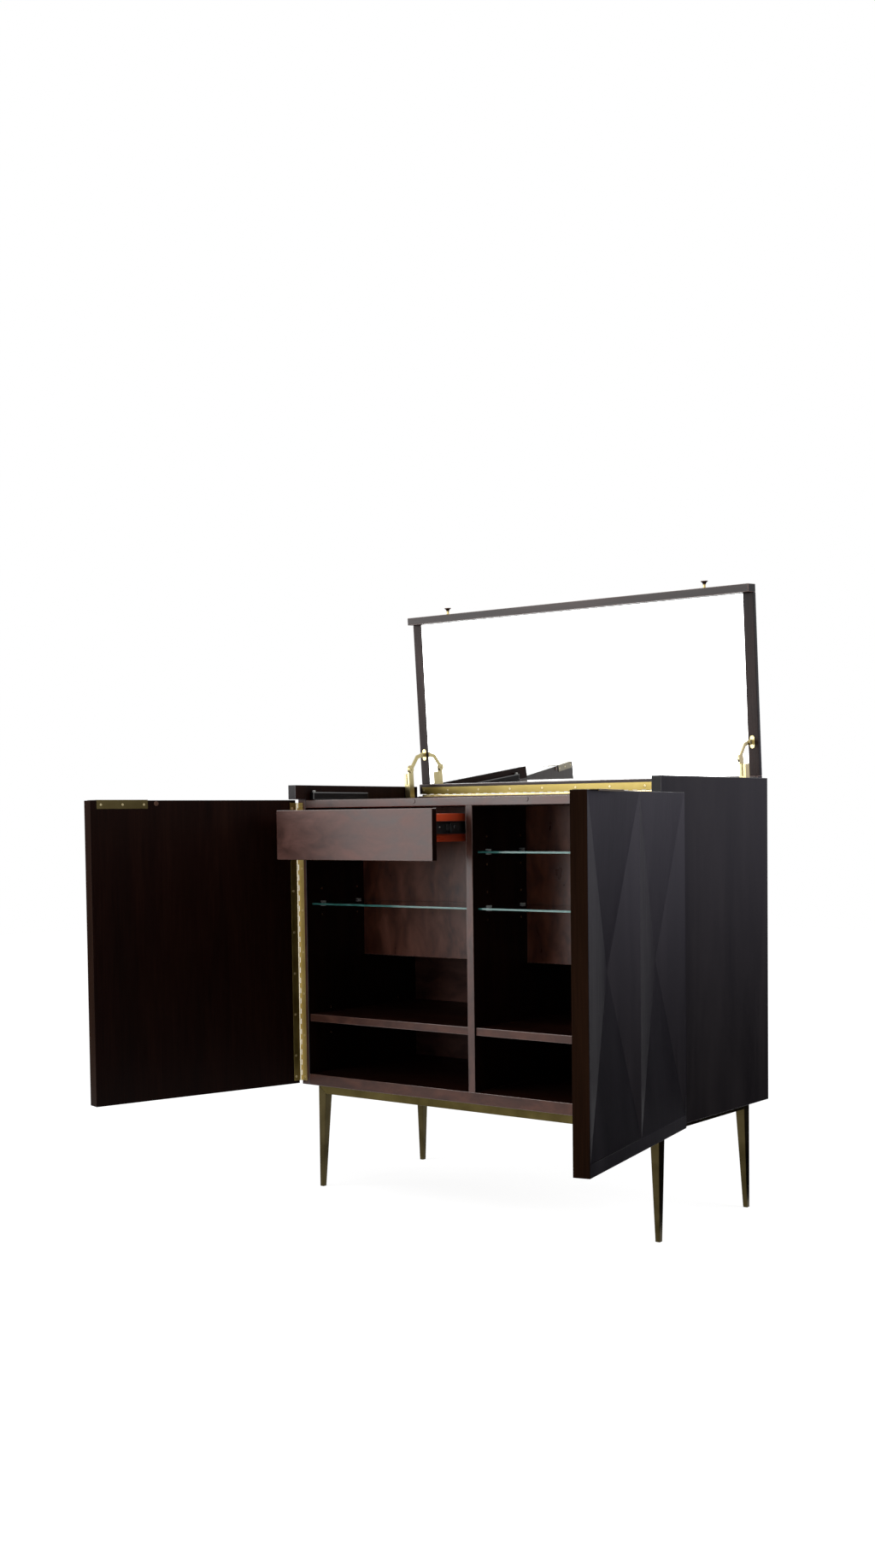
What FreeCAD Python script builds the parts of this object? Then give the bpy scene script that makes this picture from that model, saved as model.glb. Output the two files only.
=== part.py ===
"""Bar cabinet with a fold-out shelf, in its photographed pose: doors, lid and drawer open.

Millimetres. X runs to the right, Y to the back, Z up; the floor is Z 0 and the case's front edges
stand at Y 0. Moving pieces are drawn shut in their own frame and placed by that frame's formula.
"""
import FreeCAD, Part
import os
import re
import Sketcher

SIZES = {
    # case
    "case_width": 1067, "case_depth": 427, "case_low": 253,
    "side_thick": 24, "bottom_thick": 27, "back_thick": 19, "divider_thick": 19,
    "deck_up": 701.4, "deck_thick": 18.8, "nose_lift": 2.2,
    # bottle well behind the bays
    "well_front": 207, "well_wall": 18, "well_up": 308.5, "well_floor": 18,
    # white glass in the deck, and the lid rests on it
    "inlay_lip": 18, "inlay_back_lip": 8, "inlay_thick": 6,
    "rest_front": 18, "rest_long": 201, "rest_wide": 12, "rest_tall": 20.2,
    "bumper_radius": 4, "bumper_set": 7, "bumper_play": 0.3,
    # wooden shelves
    "shelf_up": 175.5, "shelf_thick": 18.5, "shelf_front": 5, "shelf_gap": 1,
    "lug_wide": 10, "lug_tall": 6, "lug_deep": 9, "lug_front_row": 80, "lug_rear_set": 71,
    # glass shelves and their clips
    "pane_thick": 5, "pane_front": 17.5, "pane_back_gap": 3, "pane_gap": 1.6, "pane_play": 0.15,
    "pane_low_room": 109.5, "pane_upper_room": 104,
    "clip_front_row": 54, "clip_rear_set": 23, "clip_wide": 12, "clip_deep": 9, "clip_jaw": 4,
    # base
    "leg_out": 493, "leg_front": 14.2, "leg_rear": 409, "leg_top": 23.5, "leg_foot": 11.4,
    "rail_tall": 21.5,
    # long hinges
    "axis_out": 1.6, "hinge_gap": 3.6, "leaf_thick": 1.2, "leaf_start": 3.2,
    "case_leaf_start": 2, "case_leaf_end": 17.5, "door_leaf_end": 19.5, "lid_leaf_end": 21.5,
    "knuckle_radius": 2.4, "knuckle_long": 25.4, "knuckle_gap": 0.4, "web_end": 2.7,
    "pin_radius": 1.1, "pin_play": 0.05,
    # doors
    "door_wide": 533.6, "door_thick": 34, "door_lap": 2.6, "door_top_gap": 1.3,
    "left_open": 106.05, "right_open": 101.9,
    "relief_deep": 17.5, "relief_hinge": 8.5, "relief_free": 3, "relief_low": 27.4,
    "relief_top": 2.3, "relief_ridge": 2,
    "pull_from": 393.3, "pull_long": 125.2, "pull_tall": 19.5, "pull_deep": 51, "pull_thick": 1.2,
    "pull_lip": 2.6,
    "strike_along": 372, "strike_down": 7.7, "strike_radius": 5.5, "strike_thick": 1.5,
    "magnet_thick": 1.2,
    # drawer
    "drawer_wide": 482.4, "drawer_tall": 118.2, "drawer_top_gap": 5.9, "drawer_front": 17,
    "drawer_setback": 2, "drawer_out": 111,
    "box_up": 42.5, "box_tall": 63.5, "box_board": 12, "box_long": 182, "box_floor": 6,
    "box_floor_up": 7, "runner_room": 12.7, "runner_up": 32, "runner_tall": 32,
    "runner_deep": 9.6, "runner_sheet": 1.2, "runner_play": 0.3, "runner_long": 178, "runner_inset": 2,
    # lid
    "lid_axis_back": 5.5, "lid_axis_up": 13.6, "lid_top": 23.4, "lid_open": 86.1,
    "lid_gap": 3.9, "lid_front_gap": 0.5, "bar_wide": 18.7, "bar_drop": 10.7,
    "lid_rail_end": 29, "stile_wide": 27, "stile_up": 11.3, "mirror_set": 1, "mirror_thick": 4,
    "knob_along": 382, "knob_up": 6.5, "knob_tall": 17, "knob_radius": 8.5, "knob_stem": 2.8,
    "knob_foot": 4.6, "knob_foot_tall": 2, "knob_rim": 1.6,
    # lid stays
    "stay_reach": 107, "stay_drop": 2.7, "arm_back": 44.5, "arm_rise": 38.5,
    "elbow_back": 24.5, "elbow_rise": 32.7,
    "plate_thick": 2, "plate_half": 12, "plate_tall": 25, "stay_play": 0.3,
    "tube_wide": 16.5, "tube_half": 9, "tube_sheet": 1.5, "tube_tail": 9, "tube_end": 95,
    "slit_wide": 3, "slit_long": 28, "ear_thick": 2.5, "ear_radius": 9, "ear_from": 78,
    "arm_thick": 3, "arm_half": 4.8, "arm_head": 6.5, "stud_radius": 2.5, "stud_head": 0.9,
    "bracket_long": 30, "bracket_wide": 12, "bracket_lug": 5.5,
    # how far a cut runs past the face it opens
    "overrun": 1,
}

SHARED = {
    "half_in": "case_width / 2 - side_thick",
    "half_div": "divider_thick / 2",
    "back_in": "case_depth - back_thick",
    "well_in": "well_front + well_wall",
    "deck_high": "case_low + deck_up",
    "deck_low": "deck_high - deck_thick",
    "nose_low": "deck_high + nose_lift",
    "case_high": "lid_axis_high + lid_top",
    "well_low": "case_low + well_up",
    "shelf_high": "case_low + shelf_up",
    "door_low": "case_low + door_lap",
    "door_high": "nose_low - door_top_gap",
    "drawer_high": "deck_low - drawer_top_gap",
    "drawer_low": "drawer_high - drawer_tall",
    "pane_low_high": "drawer_low - pane_low_room",
    "pane_upper_high": "deck_low - pane_upper_room",
    "clip_row_pitch": "well_front - clip_front_row - clip_rear_set",
    "lug_row_pitch": "back_in - lug_front_row - lug_rear_set",
    "box_low": "drawer_low + box_up",
    "runner_high": "box_low + runner_up",
    "floor_in": "case_low + bottom_thick",
    "axis_x": "case_width / 2 + axis_out",
    "lid_axis_y": "case_depth + lid_axis_back",
    "lid_axis_high": "deck_high + lid_axis_up",
    "lid_half": "half_in - lid_gap",
    "lid_reach": "lid_axis_y + door_thick - lid_front_gap",
    "back_top": "lid_axis_high - hinge_gap",
    "door_knuckles": "2 * floor((door_high - door_low - knuckle_long) / (2 * knuckle_long)) + 1",
    "door_hinge_long": "door_knuckles * knuckle_long",
    "door_hinge_low": "(door_low + door_high - door_hinge_long) / 2",
    "lid_knuckles": "2 * floor((2 * lid_half - knuckle_long) / (2 * knuckle_long)) + 1",
    "lid_hinge_long": "lid_knuckles * knuckle_long",
    "bay_mid": "0 - (half_in + half_div) / 2",
    "box_front": "drawer_setback + drawer_front",
    "box_end": "box_front + box_long",
    "shelf_low": "shelf_high - shelf_thick",
    "strike_high": "door_high - strike_down",
    "tube_from": "plate_thick + stay_play",
    "tube_to": "tube_from + tube_wide",
    "arm_from": "tube_to + stay_play",
    "arm_to": "arm_from + arm_thick",
    "stud_to": "arm_to + stud_head",
    "stay_foot_y": "lid_axis_y - arm_back",
    "stay_foot_z": "lid_axis_high - arm_rise",
}

# Corners of an eight-sided knuckle, as shares of its radius.
WIDE_SHARE = 0.9239
THIN_SHARE = 0.3827

doc = FreeCAD.newDocument("bar_cabinet")
sheet = doc.addObject("Spreadsheet::Sheet", "sizes")
for row, (name, value) in enumerate(SIZES.items(), 1):
    sheet.set(f"A{row}", name)
    sheet.set(f"B{row}", str(value))
    sheet.setAlias(f"B{row}", name)
doc.recompute()

WORD = re.compile(r"[a-z]\w*")


def bound(text):
    """A formula in named sizes, written so that it follows the sheet's cells."""
    def swap(match):
        word = match.group()
        if word in SHARED:
            return "(" + bound(SHARED[word]) + ")"
        return "sizes." + word if word in SIZES else word
    return WORD.sub(swap, str(text))


def number(text):
    return float(sheet.evalExpression(bound(text)))


def less(text):
    return f"0 - ({text})"


def frame(y, z, axis="1; 0; 0", turn="0", x="0"):
    return f"placement(vector({x}; {y}; {z}); rotation(vector({axis}); {turn}))"


LEFT_DOOR = frame("0 - hinge_gap", "0", "0; 0; 1", "0 - left_open", "0 - axis_x")
RIGHT_DOOR = frame("0 - hinge_gap", "0", "0; 0; 1", "right_open", "axis_x")
LID = frame("lid_axis_y", "lid_axis_high", "1; 0; 0", "0 - lid_open")
CASING = frame("stay_foot_y", "stay_foot_z", "1; 0; 0", "0 - lid_open")
ARM = frame("stay_foot_y - stay_reach * cos(lid_open) - stay_drop * sin(lid_open)",
            "stay_foot_z + stay_reach * sin(lid_open) - stay_drop * cos(lid_open)")
DRAWER = frame("0 - drawer_out", "0")

nodes = []
cuts = []


def new_body(label, place=None, loose=False):
    """A sub-part. A loose one holds several separate solids of one kind."""
    body = doc.addObject("PartDesign::Body", label)
    body.Label = label
    body.AllowCompound = loose
    if place:
        body.setExpression("Placement", bound(place))
    nodes.append(body)
    return body


def origin_feature(body, role):
    return [part for part in body.Origin.OriginFeatures if part.Role == role][0]


def new_sketch(body, plane, offset):
    sketch = body.newObject("Sketcher::SketchObject", "outline")
    sketch.AttachmentSupport = (origin_feature(body, plane + "_Plane"), [""])
    sketch.MapMode = "FlatFace"
    sketch.setExpression("AttachmentOffset.Base.z", bound(offset))
    return sketch


def pin_point(sketch, geometry, which, point):
    """Ties one point of a sketch to its two formulas."""
    for kind, text in zip(("DistanceX", "DistanceY"), point):
        index = sketch.addConstraint(Sketcher.Constraint(kind, -1, 1, geometry, which, number(text)))
        sketch.setExpression(f"Constraints[{index}]", bound(text))


def draw_polygon(sketch, points):
    spots = [FreeCAD.Vector(number(x), number(y), 0) for x, y in points]
    first = sketch.GeometryCount
    for start, end in zip(spots, spots[1:] + spots[:1]):
        sketch.addGeometry(Part.LineSegment(start, end))
    count = len(points)
    for step in range(count):
        following = first + (step + 1) % count
        sketch.addConstraint(Sketcher.Constraint("Coincident", first + step, 2, following, 1))
    for step, point in enumerate(points):
        pin_point(sketch, first + step, 1, point)


def draw_circle(sketch, centre, radius):
    middle = FreeCAD.Vector(number(centre[0]), number(centre[1]), 0)
    index = sketch.addGeometry(Part.Circle(middle, FreeCAD.Vector(0, 0, 1), number(radius)))
    pin_point(sketch, index, 3, centre)
    held = sketch.addConstraint(Sketcher.Constraint("Radius", index, number(radius)))
    sketch.setExpression(f"Constraints[{held}]", bound(radius))


def draw(sketch, shapes):
    """Polygons are lists of points; circles are (centre, radius)."""
    for shape in shapes:
        if isinstance(shape, list):
            draw_polygon(sketch, shape)
        else:
            draw_circle(sketch, *shape)


def add(body, plane, shapes, low, high):
    """Material between two levels across the plane."""
    sketch = new_sketch(body, plane, less(high) if plane == "XZ" else low)
    draw(sketch, shapes)
    pad = body.newObject("PartDesign::Pad", "pad")
    pad.Profile = sketch
    pad.setExpression("Length", bound(f"{high} - ({low})"))
    return pad


def cut(body, plane, shapes, low, high):
    """A pocket between two levels across the plane."""
    sketch = new_sketch(body, plane, less(low) if plane == "XZ" else high)
    draw(sketch, shapes)
    pocket = body.newObject("PartDesign::Pocket", "pocket")
    pocket.Profile = sketch
    pocket.setExpression("Length", bound(f"{high} - ({low})"))
    cuts.append((body, pocket))
    return pocket


def repeat(body, feature, role, length, count):
    pattern = body.newObject("PartDesign::LinearPattern", "pattern")
    pattern.Originals = [feature]
    pattern.Direction = (origin_feature(body, role + "_Axis"), [""])
    pattern.Mode = "Extent"
    pattern.setExpression("Length", bound(length))
    pattern.setExpression("Occurrences", bound(count))
    body.Tip = pattern
    return pattern


def box(x, y):
    return [(x[0], y[0]), (x[1], y[0]), (x[1], y[1]), (x[0], y[1])]


def board(label, x, y, z, place=None):
    body = new_body(label, place)
    add(body, "XY", [box(x, y)], *z)
    return body


def from_wall(side, near, far, wall="half_in"):
    """The X range between two distances inward from the left or right wall."""
    if side == "left":
        return (f"{near} - ({wall})", f"{far} - ({wall})")
    return (f"{wall} - ({far})", f"{wall} - ({near})")


def mirrored(side, low, high):
    return (less(high), less(low)) if side == "left" else (low, high)


# Case: side panels with the nose over the doors.
SIDE_OUTLINE = [("0", "case_low"), ("case_depth", "case_low"), ("case_depth", "case_high"),
                ("0 - door_thick", "case_high"), ("0 - door_thick", "nose_low"), ("0", "nose_low")]
for side in ("left", "right"):
    body = new_body("side_panel_" + side)
    add(body, "YZ", [SIDE_OUTLINE], *mirrored(side, "half_in", "case_width / 2"))

INSIDE = ("0 - half_in", "half_in")
board("bottom_panel", INSIDE, ("0", "back_in"), ("case_low", "floor_in"))
board("back_panel", INSIDE, ("back_in", "case_depth"), ("case_low", "back_top"))

# Divider: full depth under the bottle well, short in front of it.
DIVIDER = [("0", "floor_in"), ("back_in", "floor_in"), ("back_in", "well_low"),
           ("well_front", "well_low"), ("well_front", "deck_low"), ("0", "deck_low")]
body = new_body("divider_panel")
add(body, "YZ", [DIVIDER], "0 - half_div", "half_div")

board("well_front_wall", INSIDE, ("well_front", "well_in"), ("well_low", "deck_low"))
board("well_floor_panel", INSIDE, ("well_in", "back_in"), ("well_low", "well_low + well_floor"))

# Deck with a shallow bed that holds the white glass flush.
INLAY_X = ("rest_wide - half_in", "half_in - rest_wide")
INLAY_Y = ("inlay_lip", "well_in - inlay_back_lip")
body = board("deck_panel", INSIDE, ("0", "well_in"), ("deck_low", "deck_high"))
cut(body, "XY", [box(INLAY_X, INLAY_Y)], "deck_high - inlay_thick", "deck_high + overrun")
board("deck_glass", INLAY_X, INLAY_Y, ("deck_high - inlay_thick", "deck_high"))

body = new_body("lid_rests", loose=True)
REST_Y = ("rest_front", "rest_front + rest_long")
add(body, "XY", [box(from_wall(side, "0", "rest_wide"), REST_Y) for side in ("left", "right")],
    "deck_high", "deck_high + rest_tall")
body = new_body("lid_bumpers", loose=True)
REST_MID = "half_in - rest_wide / 2"
add(body, "XY", [((x, "rest_front + bumper_set"), "bumper_radius") for x in (less(REST_MID), REST_MID)],
    "deck_high + rest_tall", "lid_axis_high + stile_up - bumper_play")

# Shelves: wood on lugs, glass held in clips.
BAYS = {"left": ("0 - half_in", "0 - half_div"), "right": ("half_div", "half_in")}
for side, (near, far) in BAYS.items():
    board("wood_shelf_" + side, (f"{near} + shelf_gap", f"{far} - shelf_gap"),
          ("shelf_front", "back_in - shelf_gap"), ("shelf_low", "shelf_high"))
body = new_body("shelf_lugs", loose=True)
lug_boxes = []
for near, far in BAYS.values():
    for x in ((near, f"{near} + lug_deep"), (f"{far} - lug_deep", far)):
        lug_boxes.append(box(x, ("shelf_low - lug_tall", "shelf_low")))
row = add(body, "XZ", lug_boxes, "lug_front_row - lug_wide / 2", "lug_front_row + lug_wide / 2")
repeat(body, row, "Y", "lug_row_pitch", "2")

PANES = {"glass_shelf_left": ("left", "pane_low_high"),
         "glass_shelf_right_lower": ("right", "pane_low_high"),
         "glass_shelf_right_upper": ("right", "pane_upper_high")}


def clip_outline(wall, sign, top):
    """A jaw above and below the pane, joined by a heel against the wall."""
    def out(distance):
        return f"{wall} {sign} ({distance})"
    heel = "pane_gap - pane_play"
    return [(out("0"), f"{top} - pane_thick - pane_play - clip_jaw"),
            (out("clip_deep"), f"{top} - pane_thick - pane_play - clip_jaw"),
            (out("clip_deep"), f"{top} - pane_thick - pane_play"),
            (out(heel), f"{top} - pane_thick - pane_play"),
            (out(heel), f"{top} + pane_play"),
            (out("clip_deep"), f"{top} + pane_play"),
            (out("clip_deep"), f"{top} + pane_play + clip_jaw"),
            (out("0"), f"{top} + pane_play + clip_jaw")]


clip_shapes = []
for label, (side, top) in PANES.items():
    near, far = BAYS[side]
    board(label, (f"{near} + pane_gap", f"{far} - pane_gap"),
          ("pane_front", "well_front - pane_back_gap"), (f"{top} - pane_thick", top))
    clip_shapes.append(clip_outline(near, "+", top))
    clip_shapes.append(clip_outline(far, "-", top))
body = new_body("glass_shelf_clips", loose=True)
row = add(body, "XZ", clip_shapes, "clip_front_row - clip_wide / 2", "clip_front_row + clip_wide / 2")
repeat(body, row, "Y", "clip_row_pitch", "2")

# Base: the legs' outer faces stand upright, the inner ones taper; front and back rails are mitred.
RAIL_LOW = "case_low - rail_tall"
ENDS = {"front": ("leg_front", "leg_front + leg_top"), "rear": ("leg_rear - leg_top", "leg_rear")}
for side, sign in (("left", "-"), ("right", "+")):
    for end, (y0, y1) in ENDS.items():
        body = new_body(f"leg_{end}_{side}")
        outer, inner = f"0 {sign} leg_out", f"0 {sign} (leg_out - leg_top)"
        profile = [(outer, "0"), (f"0 {sign} (leg_out - leg_foot)", "0"), (inner, RAIL_LOW),
                   (outer, "case_low")]
        add(body, "XZ", [profile], y0, y1)
        foot = f"{y0} + leg_foot" if end == "front" else f"{y1} - leg_foot"
        taper_edge = y1 if end == "front" else y0
        past = f"{y1} + overrun" if end == "front" else f"{y0} - overrun"
        taper = [(foot, "0 - overrun"), (foot, "0"), (taper_edge, RAIL_LOW), (past, RAIL_LOW),
                 (past, "0 - overrun")]
        x0, x1 = mirrored(side, "leg_out - leg_top - overrun", "leg_out + overrun")
        cut(body, "YZ", [taper], x0, x1)
body = new_body("base_side_rails", loose=True)
RAIL_Y = (ENDS["front"][1], ENDS["rear"][0])
add(body, "XY", [box(mirrored(side, "leg_out - leg_top", "leg_out"), RAIL_Y) for side in ("left", "right")],
    RAIL_LOW, "case_low")
RAIL = [("0 - leg_out", "case_low"), ("leg_out", "case_low"), ("leg_out - leg_top", RAIL_LOW),
        ("leg_top - leg_out", RAIL_LOW)]
for end, (y0, y1) in ENDS.items():
    add(new_body("base_rail_" + end), "XZ", [RAIL], y0, y1)

# Long hinges: knuckles of the two leaves take turns along the pin, whose ends show.
W = f"{WIDE_SHARE} * knuckle_radius"
T = f"{THIN_SHARE} * knuckle_radius"
TURN = [(W, less(T)), (T, less(W)), (less(T), less(W)), (less(W), less(T)), (less(W), T), (less(T), W)]
CASE_KNUCKLE = [(less(T), "hinge_gap"), ("web_end", "hinge_gap"), ("web_end", T), (W, T)] + TURN
LEAF_KNUCKLE = [(W, "0"), ("leaf_start + leaf_thick", "0"), ("leaf_start + leaf_thick", "leaf_thick"),
                (f"{W} + {T} - leaf_thick", "leaf_thick"), (T, W)] + TURN[::-1]


def leaf(label, place, plane, turn, start, plate, knuckle, first, knuckles, long):
    """One leaf with every second knuckle; turn lays the cross-section into the plane."""
    axis = "Z" if plane == "XY" else "X"
    body = new_body(label, place)
    add(body, plane, [[turn(u, v) for u, v in plate]], start, f"{start} + {long}")
    low = f"{start} + {first} * knuckle_long + knuckle_gap / 2"
    one = add(body, plane, [[turn(u, v) for u, v in knuckle]], low, f"{low} + knuckle_long - knuckle_gap")
    mine = f"floor(({knuckles} - {first} + 1) / 2)"
    repeat(body, one, axis, f"({mine} - 1) * 2 * knuckle_long", mine)
    hole = [(turn("0", "0"), "pin_radius + pin_play")]
    cut(body, plane, hole, f"{start} - overrun", f"{start} + 2 * knuckle_long")
    last = cut(body, plane, hole, f"{start} + {long} - 2 * knuckle_long", f"{start} + {long} + overrun")
    body.Tip = last
    return body


def pin_ends(body, plane, centres, start, long):
    shapes = [(centre, "pin_radius") for centre in centres]
    add(body, plane, shapes, start, f"{start} + 2 * knuckle_long - knuckle_gap")
    add(body, plane, shapes, f"{start} + {long} - 2 * knuckle_long + knuckle_gap", f"{start} + {long}")


CASE_PLATE = box(("case_leaf_start", "case_leaf_end"), ("hinge_gap - leaf_thick", "hinge_gap"))
DOOR_PLATE = box(("leaf_start", "door_leaf_end"), ("0", "leaf_thick"))
LID_PLATE = box(("leaf_start", "lid_leaf_end"), ("0", "leaf_thick"))
TURNS = {"left": lambda u, v: (u, v), "right": lambda u, v: (less(u), v),
         "lid": lambda u, v: (less(u), less(v))}
SHUT = {"left": frame("0 - hinge_gap", "0", x="0 - axis_x"), "right": frame("0 - hinge_gap", "0", x="axis_x"),
        "lid": frame("lid_axis_y", "lid_axis_high")}
for side in ("left", "right"):
    leaf("case_leaf_" + side, SHUT[side], "XY", TURNS[side], "door_hinge_low", CASE_PLATE, CASE_KNUCKLE,
         "0", "door_knuckles", "door_hinge_long")
LID_START = "0 - lid_hinge_long / 2"
leaf("case_leaf_lid", SHUT["lid"], "YZ", TURNS["lid"], LID_START, CASE_PLATE, CASE_KNUCKLE,
     "0", "lid_knuckles", "lid_hinge_long")
body = new_body("hinge_pins", loose=True)
DOOR_AXES = [("0 - axis_x", "0 - hinge_gap"), ("axis_x", "0 - hinge_gap")]
pin_ends(body, "XY", DOOR_AXES, "door_hinge_low", "door_hinge_long")
pin_ends(body, "YZ", [("lid_axis_y", "lid_axis_high")], LID_START, "lid_hinge_long")

# Doors: two inverted pyramids are carved side by side into each front.
RELIEF_LOW = "door_low + relief_low"
RELIEF_HIGH = "door_high - relief_top"
RELIEF_MID = "(relief_hinge + door_wide - relief_free) / 2"
HOLLOWS = [("relief_hinge", f"{RELIEF_MID} - relief_ridge / 2"),
           (f"{RELIEF_MID} + relief_ridge / 2", "door_wide - relief_free")]
for side, place in (("left", LEFT_DOOR), ("right", RIGHT_DOOR)):
    turn = TURNS[side]

    def along(near, far):
        return (near, far) if side == "left" else (less(far), less(near))

    body = board("door_" + side, along("leaf_start", "door_wide"), ("0 - door_thick", "0"),
                 ("door_low", "door_high"), place)
    for near, far in HOLLOWS:
        low, high = along(near, far)
        mid_x = f"({low} + {high}) / 2"
        mid_z = f"({RELIEF_LOW} + {RELIEF_HIGH}) / 2"
        wedge = body.newObject("PartDesign::SubtractiveWedge", "hollow")
        values = {"Xmin": low, "Xmax": high, "X2min": mid_x, "X2max": mid_x,
                  "Ymin": "0 - door_thick", "Ymax": "relief_deep - door_thick",
                  "Zmin": RELIEF_LOW, "Zmax": RELIEF_HIGH, "Z2min": mid_z, "Z2max": mid_z}
        for name in ("Xmax", "Ymax", "Zmax", "X2max", "Z2max", "Xmin", "Ymin", "Zmin", "X2min", "Z2min"):
            setattr(wedge, name, number(values[name]))
        for name, text in values.items():
            wedge.setExpression(name, bound(text))
        cuts.append((body, wedge))
    leaf("door_leaf_" + side, place, "XY", turn, "door_hinge_low", DOOR_PLATE, LEAF_KNUCKLE,
         "1", "door_knuckles", "door_hinge_long")
    body = new_body("door_pull_" + side, place)
    pull = [("0", "door_high - pull_tall"), ("pull_thick", "door_high - pull_tall"),
            ("pull_thick", "door_high + pull_thick"), ("0 - pull_deep", "door_high + pull_thick"),
            ("0 - pull_deep", "door_high - pull_lip"), ("pull_thick - pull_deep", "door_high - pull_lip"),
            ("pull_thick - pull_deep", "door_high"), ("0", "door_high")]
    add(body, "YZ", [pull], *along("pull_from", "pull_from + pull_long"))
    body = new_body("door_strike_" + side, place)
    add(body, "XZ", [(turn("strike_along", "strike_high"), "strike_radius")], "0", "strike_thick")

body = new_body("catch_magnets", loose=True)
MAGNET_X = "axis_x - strike_along"
add(body, "XZ", [((x, "strike_high"), "strike_radius") for x in (less(MAGNET_X), MAGNET_X)],
    "0 - magnet_thick", "0")

# Lid: frame round the mirror and panel; its front bar hangs over the doors when shut.
LID_X = ("0 - lid_half", "lid_half")
board("lid_front_bar", LID_X, ("0 - lid_reach", "bar_wide - lid_reach"), ("0 - bar_drop", "lid_top"), LID)
board("lid_rear_rail", LID_X, ("0 - lid_rail_end", "0 - leaf_start"), ("0", "lid_top"), LID)
FIELD_Y = ("bar_wide - lid_reach", "0 - lid_rail_end")
FIELD_X = ("stile_wide - lid_half", "lid_half - stile_wide")
for side in ("left", "right"):
    board("lid_stile_" + side, from_wall(side, "0", "stile_wide", "lid_half"), FIELD_Y,
          ("stile_up", "lid_top"), LID)
GLASS_LOW = "stile_up + mirror_set"
board("lid_mirror", FIELD_X, FIELD_Y, (GLASS_LOW, f"{GLASS_LOW} + mirror_thick"), LID)
board("lid_panel", FIELD_X, FIELD_Y, (f"{GLASS_LOW} + mirror_thick", "lid_top"), LID)
leaf("lid_leaf", LID, "YZ", TURNS["lid"], LID_START, LID_PLATE, LEAF_KNUCKLE,
     "1", "lid_knuckles", "lid_hinge_long")

# Knobs: a round foot, a thin stem and a flaring head, turned once and repeated along the front bar.
FLARE_SHARE = 0.5
FLARE_FROM = f"0 - knob_foot_tall - {FLARE_SHARE} * (knob_tall - knob_rim - knob_foot_tall)"
body = new_body("lid_knobs", LID + " * " + frame("0 - lid_reach", "knob_up", x="0 - knob_along"), loose=True)
sketch = new_sketch(body, "XY", "0")
draw(sketch, [[("0", "0"), ("knob_foot", "0"), ("knob_foot", "0 - knob_foot_tall"),
               ("knob_stem", "0 - knob_foot_tall"), ("knob_stem", FLARE_FROM),
               ("knob_radius", "knob_rim - knob_tall"), ("knob_radius", "0 - knob_tall"),
               ("0", "0 - knob_tall")]])
turned = body.newObject("PartDesign::Revolution", "turned")
turned.Profile = sketch
turned.ReferenceAxis = (sketch, ["V_Axis"])
repeat(body, turned, "X", "2 * knob_along", "2")

# Lid stays: foot plate, casing and arm make a parallelogram with the lid, so that they fold into the well.
def strip(y0, z0, y1, z1):
    """A straight strip as wide as the arm, between two points of its middle line."""
    long = f"sqrt(({y1} - {y0}) ^ 2 + ({z1} - {z0}) ^ 2)"
    over = f"({z1} - {z0}) / {long} * arm_half"
    up = f"({y1} - {y0}) / {long} * arm_half"
    return [(f"{y0} + {over}", f"{z0} - {up}"), (f"{y1} + {over}", f"{z1} - {up}"),
            (f"{y1} - {over}", f"{z1} + {up}"), (f"{y0} - {over}", f"{z0} + {up}")]


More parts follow.
